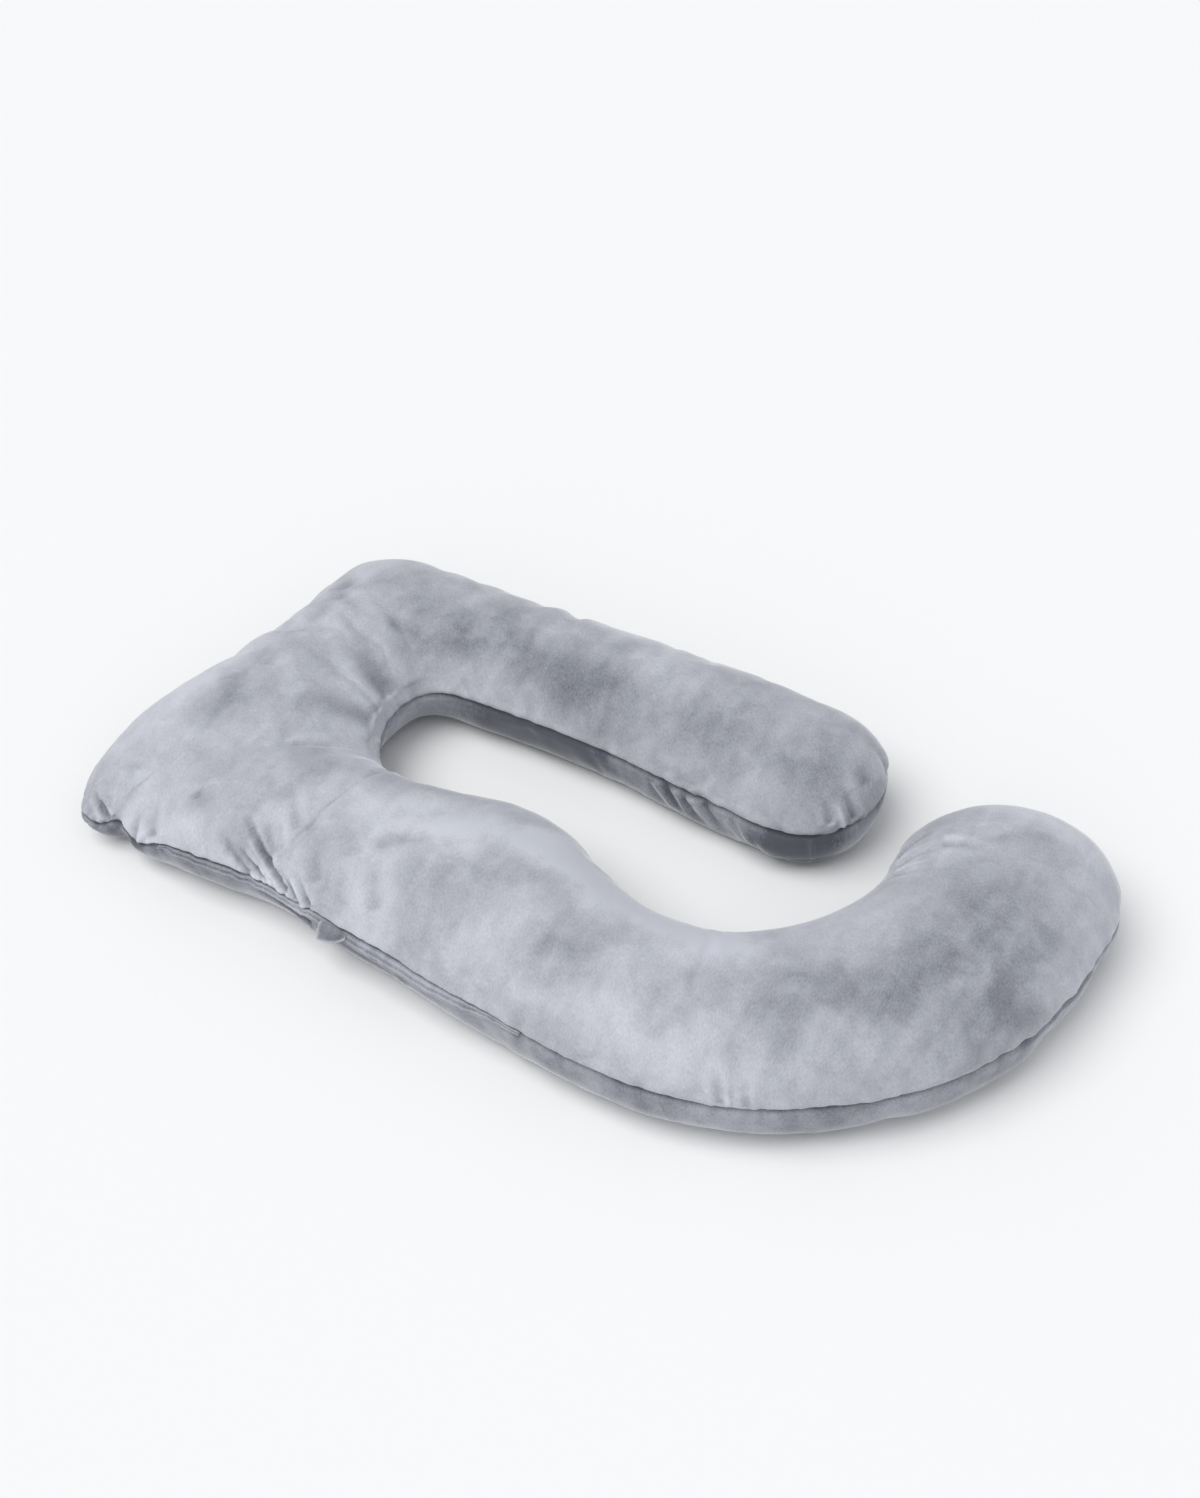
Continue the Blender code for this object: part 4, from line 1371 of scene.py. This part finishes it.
    def _rest(self, mesh: bpy.types.Mesh) -> None:
        """Flattens what lies on the floor.

        Args:
            mesh: The cover.
        """
        places = coordinates(mesh)
        places[:, 2] = np.maximum(places[:, 2], 0.0)
        set_coordinates(mesh, places)


@dataclass
class Flaps:
    """What is sewn into the seam over the zip: the long placket and the tab over its slider."""

    pillow: Pillow
    cover: bpy.types.Object
    finish: Velvet
    tab_finish: Velvet
    start: str = "zip, start"
    stop: str = "belly hollow, start"
    tab_place: str = "zip tab"
    tab_width: float = 0.049
    tab_columns: int = 28
    tab_rows: int = 20
    tab_curve_end: float = 0.96
    tab_corner: float = 0.005
    tab_corner_rise: float = 0.10
    tab_shade: float = 0.5
    tab_curl: float = 0.0016
    tab_curl_turn: float = 5.0
    hem_light: float = 1.5
    hem_height: float = 0.0016
    hem_width: float = 0.0030
    thickness: float = 0.0016
    tab_thickness: float = 0.0024
    pitch: float = 0.004
    ripples: tuple[Ripple, ...] = PLACKET_RIPPLES
    ripple_height: float = 0.0014
    loose_height: float = 0.0010
    narrow_width: float = 0.5
    widens_from: float = 0.42
    widens_over: float = 0.16
    start_taper: float = 0.06
    end_taper: float = 0.30
    least_width: float = 0.15
    search_from: float = 0.05
    search_reach: float = 0.12

    def __post_init__(self) -> None:
        """Keeps the cover's surface, which the flaps lie on."""
        mesh = self.cover.data
        corners = [list(face.vertices) for face in mesh.polygons]
        self.surface = BVHTree.FromPolygons(coordinates(mesh).tolist(), corners)

    def build(self) -> list[bpy.types.Object]:
        """Builds both flaps.

        Returns:
            The placket and the tab.
        """
        return [self._placket(), self._tab()]

    def _hanging(self, distance: float, below: float, out: float) -> Vector:
        """Finds a point that stands a little way out of the cloth, below the outer seam.

        Args:
            distance: How far along the bolster it lies.
            below: How far it lies below the seam.
            out: How far it stands out of the cloth.

        Returns:
            The point.
        """
        outline = self.pillow.outline
        near = np.array([distance - self.pitch, distance, distance + self.pitch])
        edge = outline.read(outline.outer, near) + self.pillow.offset
        run = (edge[2] - edge[0]) / np.linalg.norm(edge[2] - edge[0])
        outward = Vector((run[1], -run[0], 0.0))
        height = float(outline.read(outline.outer_seam, near)[1, 0]) - below
        seam = Vector((edge[1, 0], edge[1, 1], height))
        hit = self.surface.ray_cast(seam + outward * self.search_from, -outward, self.search_reach)[0]
        return (seam if hit is None else hit) + outward * out

    def _placket(self) -> bpy.types.Object:
        """Builds the narrow strip over the zip.

        Returns:
            The finished strip.
        """
        outline = self.pillow.outline
        first, last = outline.place_of(self.start), outline.place_of(self.stop)
        count = round((last - first) / self.pitch)
        steps = len(PLACKET_PROFILE) - 1
        shape = bmesh.new()
        bmesh.ops.create_grid(shape, x_segments=count, y_segments=steps, size=1.0)
        flat = shape.loops.layers.uv.new(FLAT_MAP)
        crease = shape.verts.layers.float.new(PAINTED_SHADE_AND_LIGHT)
        for face in shape.faces:
            for corner in face.loops:
                along = (corner.vert.co.x + 1) / 2 * (last - first)
                corner[flat].uv = (along, (corner.vert.co.y + 1) / 2 * PLACKET_PROFILE[-1].below)
        for vertex in shape.verts:
            share = (vertex.co.x + 1) / 2
            hang = PLACKET_PROFILE[round((vertex.co.y + 1) / 2 * steps)]
            # Painted shade in the placket's folds, painted light on its ridges.
            vertex[crease] = hang.crease
            loose = hang.below / PLACKET_PROFILE[-1].below
            wave = sum(ripple.height(share) for ripple in self.ripples)
            depth = hang.below * self._fullness(share)
            out = hang.out + self.thickness / 2 + loose * (self.loose_height + wave * self.ripple_height)
            vertex.co = self._hanging(first + (last - first) * share, depth, out)
        piece, cut_area = self._finished("zip_placket", shape, self.thickness, self.finish)
        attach(piece, "root")
        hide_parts("placket")
        cut = (cut_area / (last - first), last - first)
        log.info("placket cut %.1f mm wide on average and %.0f mm long", cut[0] * 1e3, cut[1] * 1e3)
        return piece

    def _fullness(self, share: float) -> float:
        """Works out how far down the placket reaches.

        Args:
            share: The place along it, from 0 at its start to 1 at its end.

        Returns:
            The share of its profile's full height, from 0 to 1.
        """
        wide = (share - self.widens_from) / self.widens_over
        turns = np.array([wide, share / self.start_taper, (1 - share) / self.end_taper])
        wide, start, end = smooth_step(turns).tolist()
        least, narrow = self.least_width, self.narrow_width
        return (narrow + (1 - narrow) * wide) * (least + (1 - least) * start) * (least + (1 - least) * end)

    def _tab(self) -> bpy.types.Object:
        """Builds the small flap, straight at one side and curving up to the seam at the other.

        Returns:
            The finished flap.
        """
        start = self.pillow.outline.place_of(self.tab_place)
        below = [hang.below for hang in TAB_PROFILE]
        out = [hang.out for hang in TAB_PROFILE]
        shape = bmesh.new()
        bmesh.ops.create_grid(shape, x_segments=self.tab_columns, y_segments=self.tab_rows, size=1.0)
        flat = shape.loops.layers.uv.new(FLAT_MAP)
        crease = shape.verts.layers.float.new(PAINTED_SHADE_AND_LIGHT)
        for face in shape.faces:
            for corner in face.loops:
                corner[flat].uv = (corner.vert.co.x * self.tab_width / 2, corner.vert.co.y * below[-1] / 2)
        for vertex in shape.verts:
            across = (vertex.co.x + 1) / 2
            down = (vertex.co.y + 1) / 2
            turn = across * self.tab_curve_end
            rounding = max(0.0, 1 - across * self.tab_width / self.tab_corner) ** 2
            drop = (math.sqrt(1 - turn**2) + 1 - turn) / 2 - self.tab_corner_rise * rounding
            height = below[0] + (below[-1] - below[0]) * down * drop
            rim = min(across * self.tab_width, (1 - down) * below[-1] * drop)
            hem = math.exp(-((rim / self.hem_width) ** 2))
            # Painted shade over the tab, with a painted highlight along its hem.
            vertex[crease] = self.tab_shade - self.hem_light * hem
            curl = self.tab_curl * down * math.sin(across * self.tab_curl_turn)
            stand = float(np.interp(height, below, out)) + curl + self.hem_height * hem
            vertex.co = self._hanging(start + self.tab_width * across, height, stand)
        piece, cut_area = self._finished("zip_tab", shape, self.tab_thickness, self.tab_finish)
        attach(piece, "root")
        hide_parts("tab")
        steps = zip(TAB_PROFILE[:-1], TAB_PROFILE[1:])
        reach = sum(math.hypot(low.below - high.below, low.out - high.out) for high, low in steps)
        cut = (self.tab_width, reach)
        log.info("tab cut %.0f by %.0f mm, %.0f square mm", cut[0] * 1e3, cut[1] * 1e3, cut_area * 1e6)
        return piece

    @staticmethod
    def _finished(
        name: str, shape: bmesh.types.BMesh, thickness: float, finish: Velvet
    ) -> tuple[bpy.types.Object, float]:
        """Gives a flap its thickness, round edges and finish.

        Args:
            name: The flap's name.
            shape: Its single layer, which is used up.
            thickness: How thick it becomes.
            finish: Its velvet.

        Returns:
            The piece, and the area of its single layer.
        """
        bmesh.ops.recalc_face_normals(shape, faces=shape.faces)
        cut_area = sum(face.calc_area() for face in shape.faces)
        bmesh.ops.solidify(shape, geom=shape.faces, thickness=thickness)
        bmesh.ops.recalc_face_normals(shape, faces=shape.faces)
        piece = add_object(name, shape)
        rounded = piece.modifiers.new("rounded", "SUBSURF")
        rounded.levels = 1
        rounded.render_levels = 1
        piece.data.materials.append(finish.material())
        return piece, cut_area


@dataclass(frozen=True)
class Softbox:
    """A large, far lamp: where it stands, how wide it looks in degrees, and its strength."""

    name: str
    toward: tuple[float, float, float]
    width: float
    strength: float


@dataclass
class Studio:
    """The floor, the light and the camera."""

    target: tuple[float, float, float] = (-0.1253, 0.2423, 0.0)
    azimuth: float = 29.7
    elevation: float = 41.5
    distance: float = 3.14
    lens: float = 48.06
    floor_size: float = 16.0
    floor_below: float = 0.0004
    softboxes: tuple[Softbox, ...] = (
        Softbox("softbox_above_left", (-0.32, -0.42, 1.0), 46.0, 1.60),
        Softbox("softbox_at_the_camera", (0.40, -0.85, 1.0), 80.0, 0.80),
    )
    room_color: tuple[float, float, float] = (0.91, 0.945, 1.0)
    lamp_color: tuple[float, float, float] = (1.0, 0.99, 0.97)
    room_strength: float = 0.45

    def build(self) -> None:
        """Builds the floor, the world's light, the lamps and the camera."""
        self._floor()
        self._world()
        for softbox in self.softboxes:
            self._lamp(softbox)
        self._camera()

    def _floor(self) -> None:
        """Builds the floor."""
        shape = bmesh.new()
        bmesh.ops.create_grid(shape, x_segments=2, y_segments=2, size=self.floor_size / 2)
        bmesh.ops.translate(shape, verts=shape.verts, vec=(0.0, 0.0, -self.floor_below))
        floor = add_object("floor", shape)
        floor.data.materials.append(PaintedFloor().material())

    def _world(self) -> None:
        """Sets the even light of the room."""
        world = bpy.data.worlds.new("room")
        world.use_nodes = True
        background = world.node_tree.nodes["Background"]
        background.inputs["Color"].default_value = (*self.room_color, 1.0)
        background.inputs["Strength"].default_value = self.room_strength
        bpy.context.scene.world = world
        bpy.context.scene.view_settings.view_transform = "Standard"

    def _lamp(self, softbox: Softbox) -> None:
        """Adds one lamp, turned to the pillow.

        Args:
            softbox: The lamp's place, width and strength.
        """
        data = bpy.data.lights.new(softbox.name, "SUN")
        data.angle = math.radians(softbox.width)
        data.energy = softbox.strength
        data.color = self.lamp_color
        lamp = bpy.data.objects.new(softbox.name, data)
        lamp.location = softbox.toward
        lamp.rotation_euler = Vector(softbox.toward).to_track_quat("Z", "Y").to_euler()
        bpy.context.scene.collection.objects.link(lamp)

    def _camera(self) -> None:
        """Adds the camera, at the photograph's angle."""
        around, up = math.radians(self.azimuth), math.radians(self.elevation)
        back = Vector((math.sin(around) * math.cos(up), -math.cos(around) * math.cos(up), math.sin(up)))
        camera = bpy.data.objects.new("camera", bpy.data.cameras.new("camera"))
        camera.data.lens = self.lens
        camera.location = Vector(self.target) + back * self.distance
        camera.rotation_euler = back.to_track_quat("Z", "Y").to_euler()
        bpy.context.scene.collection.objects.link(camera)
        bpy.context.scene.camera = camera


def main() -> None:
    """Builds every piece and reports it."""
    logging.basicConfig(level=logging.INFO, format="%(message)s")
    Studio().build()
    cover = Velvet(name="velvet cover", patches=NAP_AND_PAINTED_LIGHT_PATCHES)
    pillow = Pillow(Outline(SECTIONS, TIPS), FOLDS, GATHERS, cover)
    body = pillow.build()
    # The placket and the tab are the cover's velvet at a lower level: painted shade, as on the lower panel
    # under the seam.
    placket = Velvet(name="velvet placket", level=0.30, seam_shade=0.0)
    tab = Velvet(name="velvet tab", level=0.38, seam_shade=0.0)
    flaps = Flaps(pillow, body, placket, tab)
    for piece in (body, *flaps.build()):
        log.info("%s: %d faces", piece.name, len(piece.data.polygons))


if __name__ == "__main__":
    main()
